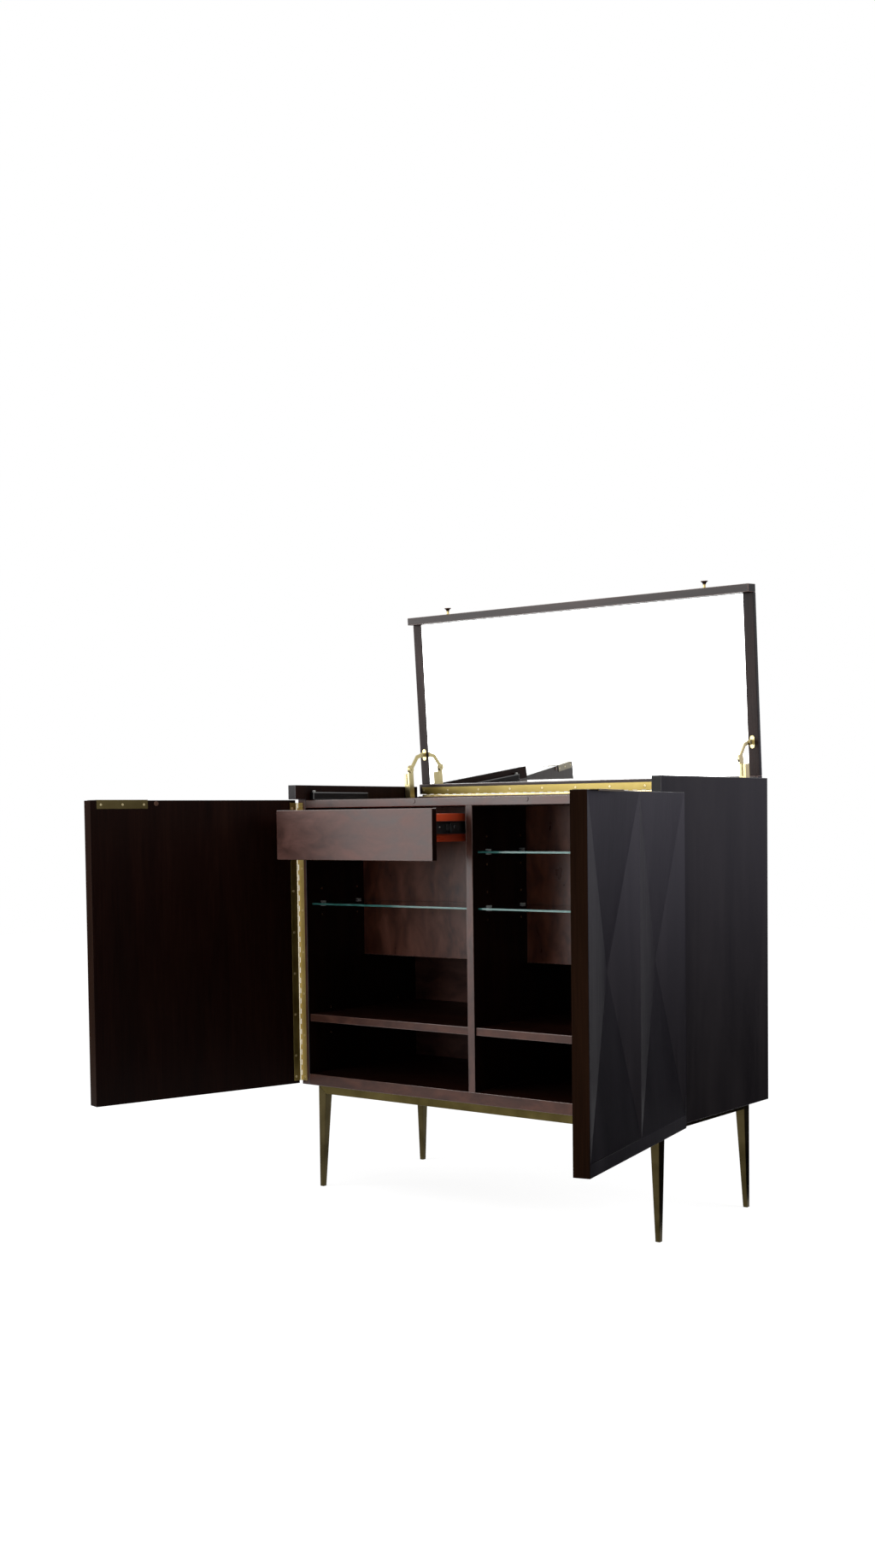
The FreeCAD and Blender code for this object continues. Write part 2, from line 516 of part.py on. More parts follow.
P_AT = ("0 - stay_reach", "0 - stay_drop")
CASING_MID = "0 - stay_drop / 2"
FOOT_Y = ("stay_foot_y - plate_half", "stay_foot_y + plate_half")
FOOT_Z = ("stay_foot_z - plate_tall", "stay_foot_z + plate_tall")
feet = new_body("stay_feet", loose=True)
brackets = new_body("stay_brackets", LID, loose=True)
for side in ("left", "right"):
    add(feet, "YZ", [box(FOOT_Y, FOOT_Z)], *from_wall(side, "0", "plate_thick"))
    add(feet, "YZ", [(("stay_foot_y", "stay_foot_z"), "stud_radius")], *from_wall(side, "0", "tube_to"))

    body = new_body("stay_casing_" + side, CASING)
    outside = box(from_wall(side, "tube_from", "tube_to"),
                  (f"{CASING_MID} - tube_half", f"{CASING_MID} + tube_half"))
    inside = box(from_wall(side, "tube_from + tube_sheet", "tube_to - tube_sheet"),
                 (f"{CASING_MID} - tube_half + tube_sheet", f"{CASING_MID} + tube_half - tube_sheet"))
    add(body, "XZ", [outside, inside], "0 - tube_end", "tube_tail")
    ear = box(("0 - stay_reach", "0 - ear_from"), (f"{CASING_MID} - ear_radius", f"{CASING_MID} + ear_radius"))
    ear_x = from_wall(side, "tube_to - ear_thick", "tube_to")
    add(body, "YZ", [ear], *ear_x)
    add(body, "YZ", [(P_AT, "ear_radius + stay_drop / 2")], *ear_x)
    add(body, "YZ", [(P_AT, "stud_radius")], *from_wall(side, "tube_to - ear_thick", "stud_to"))
    slit_x = from_wall(side, "(tube_from + tube_to - slit_wide) / 2", "(tube_from + tube_to + slit_wide) / 2")
    cut(body, "XY", [box(slit_x, ("0 - tube_end - overrun", "slit_long - tube_end"))],
        f"{CASING_MID} - tube_half - overrun", f"{CASING_MID} - tube_half + tube_sheet")
    cut(body, "YZ", [(("0", "0"), "stud_radius + pin_play")],
        *from_wall(side, "tube_from - overrun", "tube_to + overrun"))

    body = new_body("stay_arm_" + side, ARM)
    arm_x = from_wall(side, "arm_from", "arm_to")
    add(body, "YZ", [(("0", "0"), "ear_radius")], *arm_x)
    add(body, "YZ", [strip("0", "0", "elbow_back", "elbow_rise")], *arm_x)
    add(body, "YZ", [(("elbow_back", "elbow_rise"), "arm_half")], *arm_x)
    add(body, "YZ", [strip("elbow_back", "elbow_rise", "arm_back", "arm_rise")], *arm_x)
    add(body, "YZ", [(("arm_back", "arm_rise"), "arm_head")], *arm_x)
    holes = [(centre, "stud_radius + pin_play") for centre in (("0", "0"), ("arm_back", "arm_rise"))]
    cut(body, "YZ", holes, *from_wall(side, "arm_from - overrun", "arm_to + overrun"))

    base = box(("0 - stay_reach - bracket_long / 2", "bracket_long / 2 - stay_reach"),
               ("stile_up - plate_thick", "stile_up"))
    base_x = from_wall(side, "arm_from - bracket_wide / 2", "arm_from + bracket_wide / 2")
    add(brackets, "YZ", [base], *base_x)
    lug = box(("0 - stay_reach - bracket_lug", "bracket_lug - stay_reach"), ("0 - stay_drop", "stile_up"))
    add(brackets, "YZ", [lug], *ear_x)
    add(brackets, "YZ", [(P_AT, "bracket_lug")], *ear_x)
    add(brackets, "YZ", [(P_AT, "stud_radius")], *from_wall(side, "tube_to - ear_thick", "stud_to"))

# Drawer: front, red box and the inner runners nested in the outer ones.
FRONT_X = ("bay_mid - drawer_wide / 2", "bay_mid + drawer_wide / 2")
board("drawer_front", FRONT_X, ("drawer_setback", "box_front"), ("drawer_low", "drawer_high"), DRAWER)
BOX_Z = ("box_low", "box_low + box_tall")
WALLS = {"left": ("0 - half_in", "+"), "right": ("0 - half_div", "-")}
RUNNER_Y = ("box_front + runner_inset", "box_front + runner_inset + runner_long")
runners_outer = new_body("runners_outer", loose=True)
runners_inner = new_body("runners_inner", DRAWER, loose=True)
for side, (wall, sign) in WALLS.items():
    def out(near, far, wall=wall, sign=sign):
        ends = (f"{wall} {sign} ({near})", f"{wall} {sign} ({far})")
        return ends if sign == "+" else ends[::-1]

    board("drawer_side_" + side, out("runner_room", "runner_room + box_board"),
          ("box_front", "box_end"), BOX_Z, DRAWER)
    half, sheet_in = "runner_tall / 2", "runner_tall / 2 - runner_sheet"
    outer = [("0", "0 - " + half), ("runner_deep", "0 - " + half), ("runner_deep", less(sheet_in)),
             ("runner_sheet", less(sheet_in)), ("runner_sheet", sheet_in), ("runner_deep", sheet_in),
             ("runner_deep", half), ("0", half)]
    fit = f"{sheet_in} - runner_play"
    inner = [("runner_room", less(fit)), ("runner_room - runner_deep", less(fit)),
             ("runner_room - runner_deep", f"runner_sheet - ({fit})"),
             ("runner_room - runner_sheet", f"runner_sheet - ({fit})"),
             ("runner_room - runner_sheet", f"{fit} - runner_sheet"),
             ("runner_room - runner_deep", f"{fit} - runner_sheet"),
             ("runner_room - runner_deep", fit), ("runner_room", fit)]
    for body, shape in ((runners_outer, outer), (runners_inner, inner)):
        points = [(f"{wall} {sign} ({d})", f"runner_high + {h}") for d, h in shape]
        add(body, "XZ", [points], *RUNNER_Y)
BETWEEN = ("runner_room + box_board - half_in", "0 - half_div - runner_room - box_board")
board("drawer_back", BETWEEN, ("box_end - box_board", "box_end"), BOX_Z, DRAWER)
board("drawer_bottom", BETWEEN, ("box_front", "box_end - box_board"),
      ("box_low + box_floor_up", "box_low + box_floor_up + box_floor"), DRAWER)

doc.recompute()

for item in doc.Objects:
    if any(word in ("Invalid", "Error") for word in item.State):
        raise RuntimeError(f"{item.Label} did not compute: {item.State}")
for body, feature in cuts:
    before = feature.BaseFeature.Shape.Volume
    if feature.Shape.Volume > before * (1 - 1e-9):
        raise RuntimeError(f"a cut in {body.Label} takes nothing away")
for body in nodes:
    if body.Shape.isNull() or not body.Shape.isValid():
        raise RuntimeError(f"{body.Label} has no valid shape")
os.makedirs("parts", exist_ok=True)
for body in nodes:
    body.Shape.exportStep(f"parts/{body.Label}.step")
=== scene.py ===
import math

import bmesh
import bpy
from mathutils import Matrix, Vector


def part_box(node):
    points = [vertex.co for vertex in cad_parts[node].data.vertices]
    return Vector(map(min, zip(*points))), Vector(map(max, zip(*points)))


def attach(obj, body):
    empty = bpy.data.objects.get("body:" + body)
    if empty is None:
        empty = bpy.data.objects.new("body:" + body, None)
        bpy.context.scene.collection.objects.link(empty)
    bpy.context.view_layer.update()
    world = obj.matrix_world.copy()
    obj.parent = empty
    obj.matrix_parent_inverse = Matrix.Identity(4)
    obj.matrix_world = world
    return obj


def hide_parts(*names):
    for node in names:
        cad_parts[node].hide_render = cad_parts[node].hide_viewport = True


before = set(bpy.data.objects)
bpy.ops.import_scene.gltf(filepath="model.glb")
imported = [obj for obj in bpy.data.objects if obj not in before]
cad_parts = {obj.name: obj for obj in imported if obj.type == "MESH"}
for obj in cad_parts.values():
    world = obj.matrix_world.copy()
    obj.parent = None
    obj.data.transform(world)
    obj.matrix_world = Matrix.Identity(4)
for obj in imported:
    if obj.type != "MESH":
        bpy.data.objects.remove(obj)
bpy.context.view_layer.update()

scene = bpy.context.scene

# Base frame and legs: a square brass frame under the case with four tapering square legs.
# The metal is darkened brass, mitred and brazed at the corners, with eased arrises.
MERGE_DISTANCE = 2e-6
FLAT_ANGLE = math.radians(0.4)
SMOOTH_ANGLE = math.radians(38)
SHORT_EDGE = 0.006
CRISP_DEGREES = 24


def merged_copy(node):
    """A CAD solid's shape with its loose triangles joined and its flat faces whole."""
    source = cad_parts[node].data
    work = bmesh.new()
    corners = [work.verts.new(v.co) for v in source.vertices]
    for face in source.polygons:
        work.faces.new([corners[i] for i in face.vertices])
    bmesh.ops.remove_doubles(work, verts=work.verts, dist=MERGE_DISTANCE)
    bmesh.ops.dissolve_limit(work, angle_limit=FLAT_ANGLE, verts=work.verts, edges=work.edges)
    return work


def make_piece(name, work, finishes, body, slot, node=None, ease=0.0, pick=None, least=SHORT_EDGE, steps=2,
               crisp=CRISP_DEGREES, rubbed=None):
    """Makes a piece of a shape. Edges longer than least and sharper than crisp are eased, in so many steps.
    pick gives a face's place in the finishes, and rubbed is a finish for the eased edges alone, which carries
    wear and a painted sheen."""
    work.normal_update()
    weight = work.edges.layers.float.new("bevel_weight_edge")
    for edge in work.edges:
        angle = edge.calc_face_angle(0.0)
        if ease and angle > math.radians(crisp) and edge.calc_length() > least:
            edge[weight] = 1.0
        else:
            edge.smooth = angle < SMOOTH_ANGLE
    for face in work.faces:
        face.smooth = True
        if pick:
            face.material_index = pick(face)
    mesh = bpy.data.meshes.new(name)
    work.to_mesh(mesh)
    work.free()
    for finish in finishes:
        mesh.materials.append(finish)
    piece = bpy.data.objects.new(name, mesh)
    scene.collection.objects.link(piece)
    if ease:
        arris = piece.modifiers.new("eased arrises", "BEVEL")
        arris.limit_method = "WEIGHT"
        arris.width = ease
        arris.segments = steps
        arris.harden_normals = True
        if rubbed:
            mesh.materials.append(rubbed)
            arris.material = len(finishes)
    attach(piece, body)
    if node:
        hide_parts(node)
    return piece


def dress(node, finishes, body, slot, **edges):
    """Stands for a CAD solid with the same shape, its arrises eased as make_piece's settings say."""
    return make_piece(node + "_finished", merged_copy(node), finishes, body, slot, node, **edges)


class Recipe:
    """A material's nodes, laid on the piece's own place in metres."""

    def __init__(self, name):
        self.finish = bpy.data.materials.new(name)
        self.finish.use_nodes = True
        self.nodes = self.finish.node_tree.nodes
        self.links = self.finish.node_tree.links
        self.shader = self.nodes["Principled BSDF"]
        self.place = self.nodes.new("ShaderNodeTexCoord").outputs["Object"]

    def set(self, **values):
        """Sets the shader's own sockets."""
        for name, value in values.items():
            self.shader.inputs[name.replace("_", " ")].default_value = value

    def noise(self, per_metre, detail=3.0, roughness=0.55, distortion=0.0):
        """Cloudy noise; per_metre gives how many clouds fit in a metre along X, Y and Z."""
        stretch = self.nodes.new("ShaderNodeMapping")
        stretch.inputs["Scale"].default_value = per_metre
        self.links.new(self.place, stretch.inputs["Vector"])
        cloud = self.nodes.new("ShaderNodeTexNoise")
        cloud.inputs["Scale"].default_value = 1.0
        cloud.inputs["Detail"].default_value = detail
        cloud.inputs["Roughness"].default_value = roughness
        cloud.inputs["Distortion"].default_value = distortion
        self.links.new(stretch.outputs["Vector"], cloud.inputs["Vector"])
        return cloud.outputs["Fac"]

    def blend(self, first, second, share):
        """Adds two noises, the second with that share."""
        part = self.nodes.new("ShaderNodeMath")
        part.operation = "MULTIPLY"
        part.inputs[1].default_value = 1 - share
        self.links.new(first, part.inputs[0])
        both = self.nodes.new("ShaderNodeMath")
        both.operation = "MULTIPLY_ADD"
        both.inputs[1].default_value = share
        self.links.new(second, both.inputs[0])
        self.links.new(part.outputs[0], both.inputs[2])
        return both.outputs[0]

    def colours(self, value, stops):
        """Colours the piece by a noise; each stop is a value and its colour."""
        ramp = self.nodes.new("ShaderNodeValToRGB")
        while len(ramp.color_ramp.elements) < len(stops):
            ramp.color_ramp.elements.new(0.5)
        for element, (at, colour) in zip(ramp.color_ramp.elements, stops):
            element.position = at
            element.color = (*colour, 1.0)
        self.links.new(value, ramp.inputs["Fac"])
        self.links.new(ramp.outputs["Color"], self.shader.inputs["Base Color"])

    def roughness(self, value, low, high):
        """Roughness between two limits over the span that a noise mostly keeps to."""
        spread = self.nodes.new("ShaderNodeMapRange")
        spread.inputs["From Min"].default_value = 0.3
        spread.inputs["From Max"].default_value = 0.7
        spread.inputs["To Min"].default_value = low
        spread.inputs["To Max"].default_value = high
        self.links.new(value, spread.inputs["Value"])
        self.links.new(spread.outputs["Result"], self.shader.inputs["Roughness"])

    def bump(self, value, strength, distance):
        """A fine relief that follows a noise."""
        relief = self.nodes.new("ShaderNodeBump")
        relief.inputs["Strength"].default_value = strength
        relief.inputs["Distance"].default_value = distance
        self.links.new(value, relief.inputs["Height"])
        self.links.new(relief.outputs["Normal"], self.shader.inputs["Normal"])


def brass(name, dark, light, smooth, dull):
    """Brass with cloudy tarnish and fine polishing marks."""
    recipe = Recipe(name)
    tarnish = recipe.noise((13, 13, 13), 4.0, 0.5, 0.3)
    marks = recipe.noise((1500, 1500, 300), 3.0)
    mixed = recipe.blend(tarnish, marks, 0.16)
    recipe.colours(mixed, [(0.3, dark), (0.7, light)])
    recipe.roughness(mixed, smooth, dull)
    recipe.bump(marks, 0.03, 0.0001)
    recipe.set(Metallic=1.0)
    return recipe.finish


aged_brass = brass("aged_brass", (0.030, 0.0225, 0.0085), (0.072, 0.056, 0.024), 0.24, 0.38)
for node in ("leg_front_left", "leg_front_right", "leg_rear_left", "leg_rear_right"):
    dress(node, [aged_brass], "case", "base_brass", ease=0.0014, steps=3)
# The rails take a lighter copy of the legs' brass, a painted reflection of the pale floor.
lit_rail_brass = brass("lit_rail_brass", (0.038, 0.0285, 0.0088), (0.088, 0.068, 0.0235), 0.24, 0.38)
for node in ("base_side_rails", "base_rail_front", "base_rail_rear"):
    dress(node, [lit_rail_brass], "case", "base_brass", ease=0.0009)

# Case panels: veneered boards glued up into a box, near-black outside and brown inside.
# The sides and the divider have rows of drilled holes for the shelves' lugs and clips.
# Inner faces that lie in deep shade in the photo are toned darker than the brown of the front edges.
X, Y, Z = range(3)


def stained_wood(name, along, tones, shine, dull, level, mottle=0.0):
    """Satin stained veneer with its grain along that axis, coloured from a deep, a warm and a pale tone.
    shine and dull limit its roughness, level is its sheen, and mottle the share of cloudy blotches."""
    def grain(long, wide):
        return [long if axis == along else wide for axis in range(3)]
    recipe = Recipe(name)
    figure = recipe.noise(grain(1.3, 11), 4.0, 0.55, 0.9)
    fibre = recipe.noise(grain(9, 330), 5.0, 0.6)
    cloud = recipe.noise(grain(13, 27), 5.0, 0.55, 0.5) if mottle else fibre
    tone = recipe.blend(recipe.blend(figure, fibre, 0.38), cloud, mottle)
    recipe.colours(tone, list(zip((0.36, 0.5, 0.66), tones)))
    recipe.roughness(cloud, shine, dull)
    if not mottle:
        recipe.bump(recipe.noise(grain(26, 1100), 2.0), 0.10, 0.0002)
    recipe.set(Specular_IOR_Level=level)
    return recipe.finish


EBONY = ((0.0052, 0.0042, 0.0048), (0.0098, 0.0082, 0.0088), (0.0165, 0.0138, 0.0146))
BROWN = ((0.0400, 0.0120, 0.0075), (0.0760, 0.0270, 0.0185), (0.1250, 0.0480, 0.0340))
SHADED = ((0.0040, 0.0008, 0.0004), (0.0086, 0.0022, 0.0012), (0.0160, 0.0050, 0.0028))
SHELF = ((0.0380, 0.0112, 0.0060), (0.0715, 0.0245, 0.0150), (0.1170, 0.0435, 0.0275))
WALL = ((0.0440, 0.0095, 0.0034), (0.0840, 0.0215, 0.0090), (0.1380, 0.0430, 0.0230))
# The next two tones colour eased arrises paler than their faces: partly rubbed wear and partly a painted
# sheen, bluish grey on the near-black boards.
RUBBED_SHEEN = ((0.0700, 0.0310, 0.0230), (0.1200, 0.0620, 0.0490), (0.1800, 0.0980, 0.0810))
WORN_SHEEN = ((0.0270, 0.0250, 0.0300), (0.0440, 0.0410, 0.0470), (0.0660, 0.0620, 0.0690))
BARE = ((0.16, 0.09, 0.05), (0.24, 0.14, 0.08), (0.33, 0.21, 0.12))
ebony_upright = stained_wood("ebony_upright", Z, EBONY, 0.30, 0.40, 0.13)
ebony_across = stained_wood("ebony_across", X, EBONY, 0.30, 0.40, 0.13)
brown_upright = stained_wood("brown_upright", Z, BROWN, 0.30, 0.42, 0.42, 0.8)
brown_across = stained_wood("brown_across", X, BROWN, 0.30, 0.42, 0.42, 0.8)
shaded_upright = stained_wood("shaded_upright", Z, SHADED, 0.32, 0.44, 0.06)
shaded_across = stained_wood("shaded_across", X, SHADED, 0.32, 0.44, 0.06)
deck_across = stained_wood("deck_across", X, BROWN, 0.30, 0.42, 0.52, 0.8)
shelf_across = stained_wood("shelf_across", X, SHELF, 0.34, 0.46, 0.28, 0.8)
wall_upright = stained_wood("wall_upright", Z, WALL, 0.27, 0.35, 0.56, 0.85)
rubbed_sheen_brown = stained_wood("rubbed_sheen_brown", Z, RUBBED_SHEEN, 0.20, 0.30, 0.8)
rubbed_sheen_ebony = stained_wood("rubbed_sheen_ebony", Z, WORN_SHEEN, 0.22, 0.32, 0.5)
bare_wood = stained_wood("bare_wood", X, BARE, 0.55, 0.7, 0.3)

row_tree = bpy.data.node_groups.new("row_of_parts", "GeometryNodeTree")
row_inputs = {}
for label, kind in (("Part", "Object"), ("Count", "Int"), ("Start", "Vector"), ("Step", "Vector"),
                    ("Turn", "Vector"), ("Finish", "Material")):
    socket = row_tree.interface.new_socket(label, in_out="INPUT", socket_type="NodeSocket" + kind)
    row_inputs[label] = socket.identifier
row_tree.interface.new_socket("Geometry", in_out="OUTPUT", socket_type="NodeSocketGeometry")
given = row_tree.nodes.new("NodeGroupInput")
points = row_tree.nodes.new("GeometryNodeMeshLine")
part = row_tree.nodes.new("GeometryNodeObjectInfo")
turned_to = row_tree.nodes.new("FunctionNodeEulerToRotation")
placed = row_tree.nodes.new("GeometryNodeInstanceOnPoints")
real = row_tree.nodes.new("GeometryNodeRealizeInstances")
coated = row_tree.nodes.new("GeometryNodeSetMaterial")
result = row_tree.nodes.new("NodeGroupOutput")
for start, end in ((given.outputs["Part"], part.inputs["Object"]),
                   (given.outputs["Count"], points.inputs["Count"]),
                   (given.outputs["Start"], points.inputs["Start Location"]),
                   (given.outputs["Step"], points.inputs["Offset"]),
                   (given.outputs["Turn"], turned_to.inputs[0]),
                   (points.outputs["Mesh"], placed.inputs["Points"]),
                   (part.outputs["Geometry"], placed.inputs["Instance"]),
                   (turned_to.outputs[0], placed.inputs["Rotation"]),
                   (placed.outputs["Instances"], real.inputs["Geometry"]),
                   (real.outputs["Geometry"], coated.inputs["Geometry"]),
                   (given.outputs["Finish"], coated.inputs["Material"]),
                   (coated.outputs["Geometry"], result.inputs[0])):
    row_tree.links.new(start, end)


def row_of(part_shape, count, start, step, facing, finish):
    """A row of like parts as a plain mesh; each part's own Z axis is turned to facing."""
    holder = bpy.data.objects.new("row", bpy.data.meshes.new("row"))
    scene.collection.objects.link(holder)
    rows = holder.modifiers.new("row", "NODES")
    rows.node_group = row_tree
    turn = Vector((0, 0, 1)).rotation_difference(Vector(facing)).to_euler()
    values = {"Part": part_shape, "Count": count, "Start": start, "Step": step, "Turn": tuple(turn),
              "Finish": finish}
    for label, value in values.items():
        rows[row_inputs[label]] = value
    mesh = bpy.data.meshes.new_from_object(holder.evaluated_get(bpy.context.evaluated_depsgraph_get()))
    bpy.data.objects.remove(holder)
    return mesh


def pattern_part(name, work):
    """A shape that rows repeat; it is removed again when its rows are made."""
    mesh = bpy.data.meshes.new(name)
    work.to_mesh(mesh)
    work.free()
    shape = bpy.data.objects.new(name, mesh)
    scene.collection.objects.link(shape)
    return shape


def turned(profile, sides=32, matrix=Matrix()):
    """A lathe-turned shape about Z from (radius, height) points that start and end on the axis."""
    work = bmesh.new()
    angles = [2 * math.pi * i / sides for i in range(sides)]
    rings = []
    for radius, height in profile:
        if radius == 0:
            rings.append([work.verts.new((0, 0, height))])
        else:
            ring = [(radius * math.cos(a), radius * math.sin(a), height) for a in angles]
            rings.append([work.verts.new(place) for place in ring])
    for low, high in zip(rings, rings[1:]):
        for i in range(sides):
            j = (i + 1) % sides
            loop = [low[i % len(low)], low[j % len(low)], high[j % len(high)], high[i % len(high)]]
            work.faces.new(list(dict.fromkeys(loop)))
    bmesh.ops.recalc_face_normals(work, faces=work.faces)
    bmesh.ops.transform(work, matrix=matrix, verts=work.verts)
    return work


def gather(shapes):
    """Joins meshes and shapes into one shape."""
    whole = bmesh.new()
    for shape in shapes:
        if isinstance(shape, bmesh.types.BMesh):
            mesh = bpy.data.meshes.new("part")
            shape.to_mesh(mesh)
            shape.free()
        else:
            mesh = shape
        whole.from_mesh(mesh)
        bpy.data.meshes.remove(mesh)
    return whole


SIDE = {"left": -1, "right": 1}
INNER_WALL = 0.5095
DIVIDER_WALL = 0.0095
DRILL_RADIUS, DRILL_HALF = 0.0025, 0.009
drill = pattern_part("drill", turned([(0, -DRILL_HALF), (DRILL_RADIUS, -DRILL_HALF),
                                      (DRILL_RADIUS, DRILL_HALF), (0, DRILL_HALF)], 12))
HOLES_IN_ROW = 3
HOLE_STEP = (0, 0, 0.032)
UPPER_ROWS = [(0.054, 0.672), (0.184, 0.672), (0.054, 0.800), (0.184, 0.800)]
LOWER_ROWS = [(0.080, 0.375), (0.337, 0.375)]
FAR_SIDE_LIFT = 0.0004
FACING = 0.5
BORE_AREA = 0.00003
FLOOR_CORNERS = 9
OUTER, INNER, BORE, LIP = range(4)


def drilled(node, walls):
    """A board with rows of holes bored into it at each of the walls' X places."""
    holes = []
    for wall, rows in walls:
        for y, low in rows:
            holes.append(row_of(drill, HOLES_IN_ROW, (wall, y, low), HOLE_STEP, (1, 0, 0), None))
    plain = pattern_part("plain", merged_copy(node))
    bits = pattern_part("bits", gather(holes))
    bore = plain.modifiers.new("bore", "BOOLEAN")
    bore.operation = "DIFFERENCE"
    bore.object = bits
    mesh = bpy.data.meshes.new_from_object(plain.evaluated_get(bpy.context.evaluated_depsgraph_get()))
    work = bmesh.new()
    work.from_mesh(mesh)
    for item in (plain, bits):
        bpy.data.objects.remove(item)
    return work


def bored(face):
    """Whether a face is on the wall or the floor of a drilled hole."""
    round_floor = len(face.verts) > FLOOR_CORNERS
    return face.calc_area() < BORE_AREA and (abs(face.normal.x) < FACING or round_floor)


PANEL_EASE = 0.0011
PANEL_LEAST = 0.02
NOSE_UNDER = 0.9566
for side, sign in SIDE.items():
    rows = LOWER_ROWS + (UPPER_ROWS[:2] if side == "left" else UPPER_ROWS)
    node = "side_panel_" + side

    def side_veneer(face, sign=sign):
        """Near-black outside and on the nose, dark with painted shade inside, and brown on the front edge
        under the nose.
        """
        if bored(face):
            return BORE
        if face.normal.y < -FACING and face.calc_center_median().z < NOSE_UNDER:
            return LIP
        return INNER if face.normal.x * sign < -FACING else OUTER

    make_piece(node + "_finished", drilled(node, [(sign * INNER_WALL, rows)]),
               [ebony_upright, shaded_upright, bare_wood, brown_upright], "case", "dark_wood", node,
               ease=PANEL_EASE, pick=side_veneer, least=PANEL_LEAST, rubbed=rubbed_sheen_ebony)


def divider_veneer(face):
    """Brown on the front edge, dark with painted shade on both sides, and bare in the holes."""
    if bored(face):
        return BORE
    return INNER if face.normal.y > -FACING else OUTER


divider_walls = [(-DIVIDER_WALL, LOWER_ROWS + UPPER_ROWS[:2]),
                 (DIVIDER_WALL, [(y, z + FAR_SIDE_LIFT) for y, z in UPPER_ROWS])]
make_piece("divider_finished", drilled("divider_panel", divider_walls),
           [brown_upright, shaded_upright, bare_wood], "case", "brown_wood", "divider_panel", ease=PANEL_EASE,
           pick=divider_veneer, least=PANEL_LEAST, rubbed=rubbed_sheen_brown)
bpy.data.objects.remove(drill)


# Boards that lie back in the bays take the shaded veneer, painted shade, on all but their front edges.
def front_edge(face):
    """The first finish on a board's front edge, and the second elsewhere."""
    return 0 if face.normal.y < -FACING else 1


dress("bottom_panel", [shelf_across, shaded_across], "case", "brown_wood", ease=PANEL_EASE, pick=front_edge,
      rubbed=rubbed_sheen_brown)
dress("deck_panel", [deck_across], "case", "brown_wood", ease=PANEL_EASE, rubbed=rubbed_sheen_brown)
dress("well_front_wall", [wall_upright], "case", "brown_wood", ease=0.0022, rubbed=rubbed_sheen_brown)
dress("well_floor_panel", [brown_across], "case", "brown_wood", ease=PANEL_EASE)
dress("back_panel", [ebony_across, brown_across], "case", "dark_wood", ease=PANEL_EASE,
      pick=lambda face: 1 - front_edge(face))

# Lid rests: two dark cleats with glossy tops, fixed along the side panels over the deck.
# Each has a pale soft bumper near its front end, on which the shut lid lies.
bumper = Recipe("bumper_rubber")
skin = bumper.noise((400, 400, 400), 2.0)
bumper.colours(skin, [(0.3, (0.36, 0.36, 0.34)), (0.7, (0.48, 0.48, 0.46))])
bumper.roughness(skin, 0.45, 0.6)
bumper.bump(skin, 0.1, 0.0002)
cleat_wood = stained_wood("cleat_wood", Y, EBONY, 0.22, 0.30, 0.07)
cleat_top = stained_wood("cleat_top", Y, EBONY, 0.10, 0.18, 0.9)
UPWARD = 0.9
dress("lid_rests", [cleat_wood, cleat_top], "case", "dark_wood", ease=0.0026,
      pick=lambda face: 1 if face.normal.z > UPWARD else 0, steps=3, rubbed=cleat_top)
BUMPER_RADIUS = 0.004
BUMPER_SHARES = ((0, 0), (1, 0), (1, 0.5), (0.85, 0.86), (0.45, 1), (0, 1))
low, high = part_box("lid_bumpers")
bumper_tall = high.z - low.z
domes = []
for sign in SIDE.values():
    at = Matrix.Translation((sign * (high.x - BUMPER_RADIUS), (low.y + high.y) / 2, low.z))
    domes.append(turned([(BUMPER_RADIUS * r, bumper_tall * z) for r, z in BUMPER_SHARES], 24, at))
make_piece("bumpers_finished", gather(domes), [bumper.finish], "case", "bumper_rubber", "lid_bumpers")

# Deck inlay: a sheet of glass that is painted white on its back.
# It lies flush in a recess of the deck.
white_glass = Recipe("white_glass")
smear = white_glass.noise((7, 9, 9), 4.0, 0.6, 0.6)
white_glass.colours(smear, [(0.3, (0.80, 0.81, 0.80)), (0.7, (0.86, 0.865, 0.855))])
white_glass.roughness(smear, 0.03, 0.10)
white_glass.set(Coat_Weight=0.4, Coat_Roughness=0.03)
dress("deck_glass", [white_glass.finish], "case", "white_glass", ease=0.0006)

# Wood shelves: one low board in each bay, with a brown veneered front edge.
# Each rests loose on plated steel lugs that are pushed into the drilled holes.
plated = Recipe("plated_steel")
wear = plated.noise((60, 60, 60), 4.0)
plated.colours(wear, [(0.3, (0.42, 0.42, 0.43)), (0.7, (0.58, 0.58, 0.58))])
plated.roughness(wear, 0.2, 0.38)
plated.set(Metallic=1.0)
for node in ("wood_shelf_left", "wood_shelf_right"):
    dress(node, [shelf_across, shaded_across], "case", "brown_wood", ease=0.0013, pick=front_edge,
          rubbed=rubbed_sheen_brown)
dress("shelf_lugs", [plated.finish], "case", "bright_steel", ease=0.0011, least=0.004)

# Glass shelves: three clear panes whose ground edges look green.
# They lie in small clips of clear plastic that are pushed into the drilled holes.
pane_glass = Recipe("pane_glass")
haze = pane_glass.noise((16, 16, 16), 4.0, 0.6, 0.5)
pane_glass.colours(haze, [(0.3, (0.90, 0.965, 0.945)), (0.7, (0.95, 0.985, 0.975))])
pane_glass.roughness(haze, 0.0, 0.035)
pane_glass.set(Transmission_Weight=1.0, IOR=1.5)
pane_edge = Recipe("pane_edge")
ground = pane_edge.noise((42, 42, 300), 4.0, 0.6)
pane_edge.colours(ground, [(0.3, (0.026, 0.17, 0.15)), (0.55, (0.070, 0.27, 0.245)),
                           (0.72, (0.18, 0.39, 0.36))])
pane_edge.roughness(ground, 0.08, 0.22)
pane_edge.set(Transmission_Weight=0.35, IOR=1.5)
clip_clear = Recipe("clip_plastic")
flow = clip_clear.noise((200, 200, 200), 3.0)
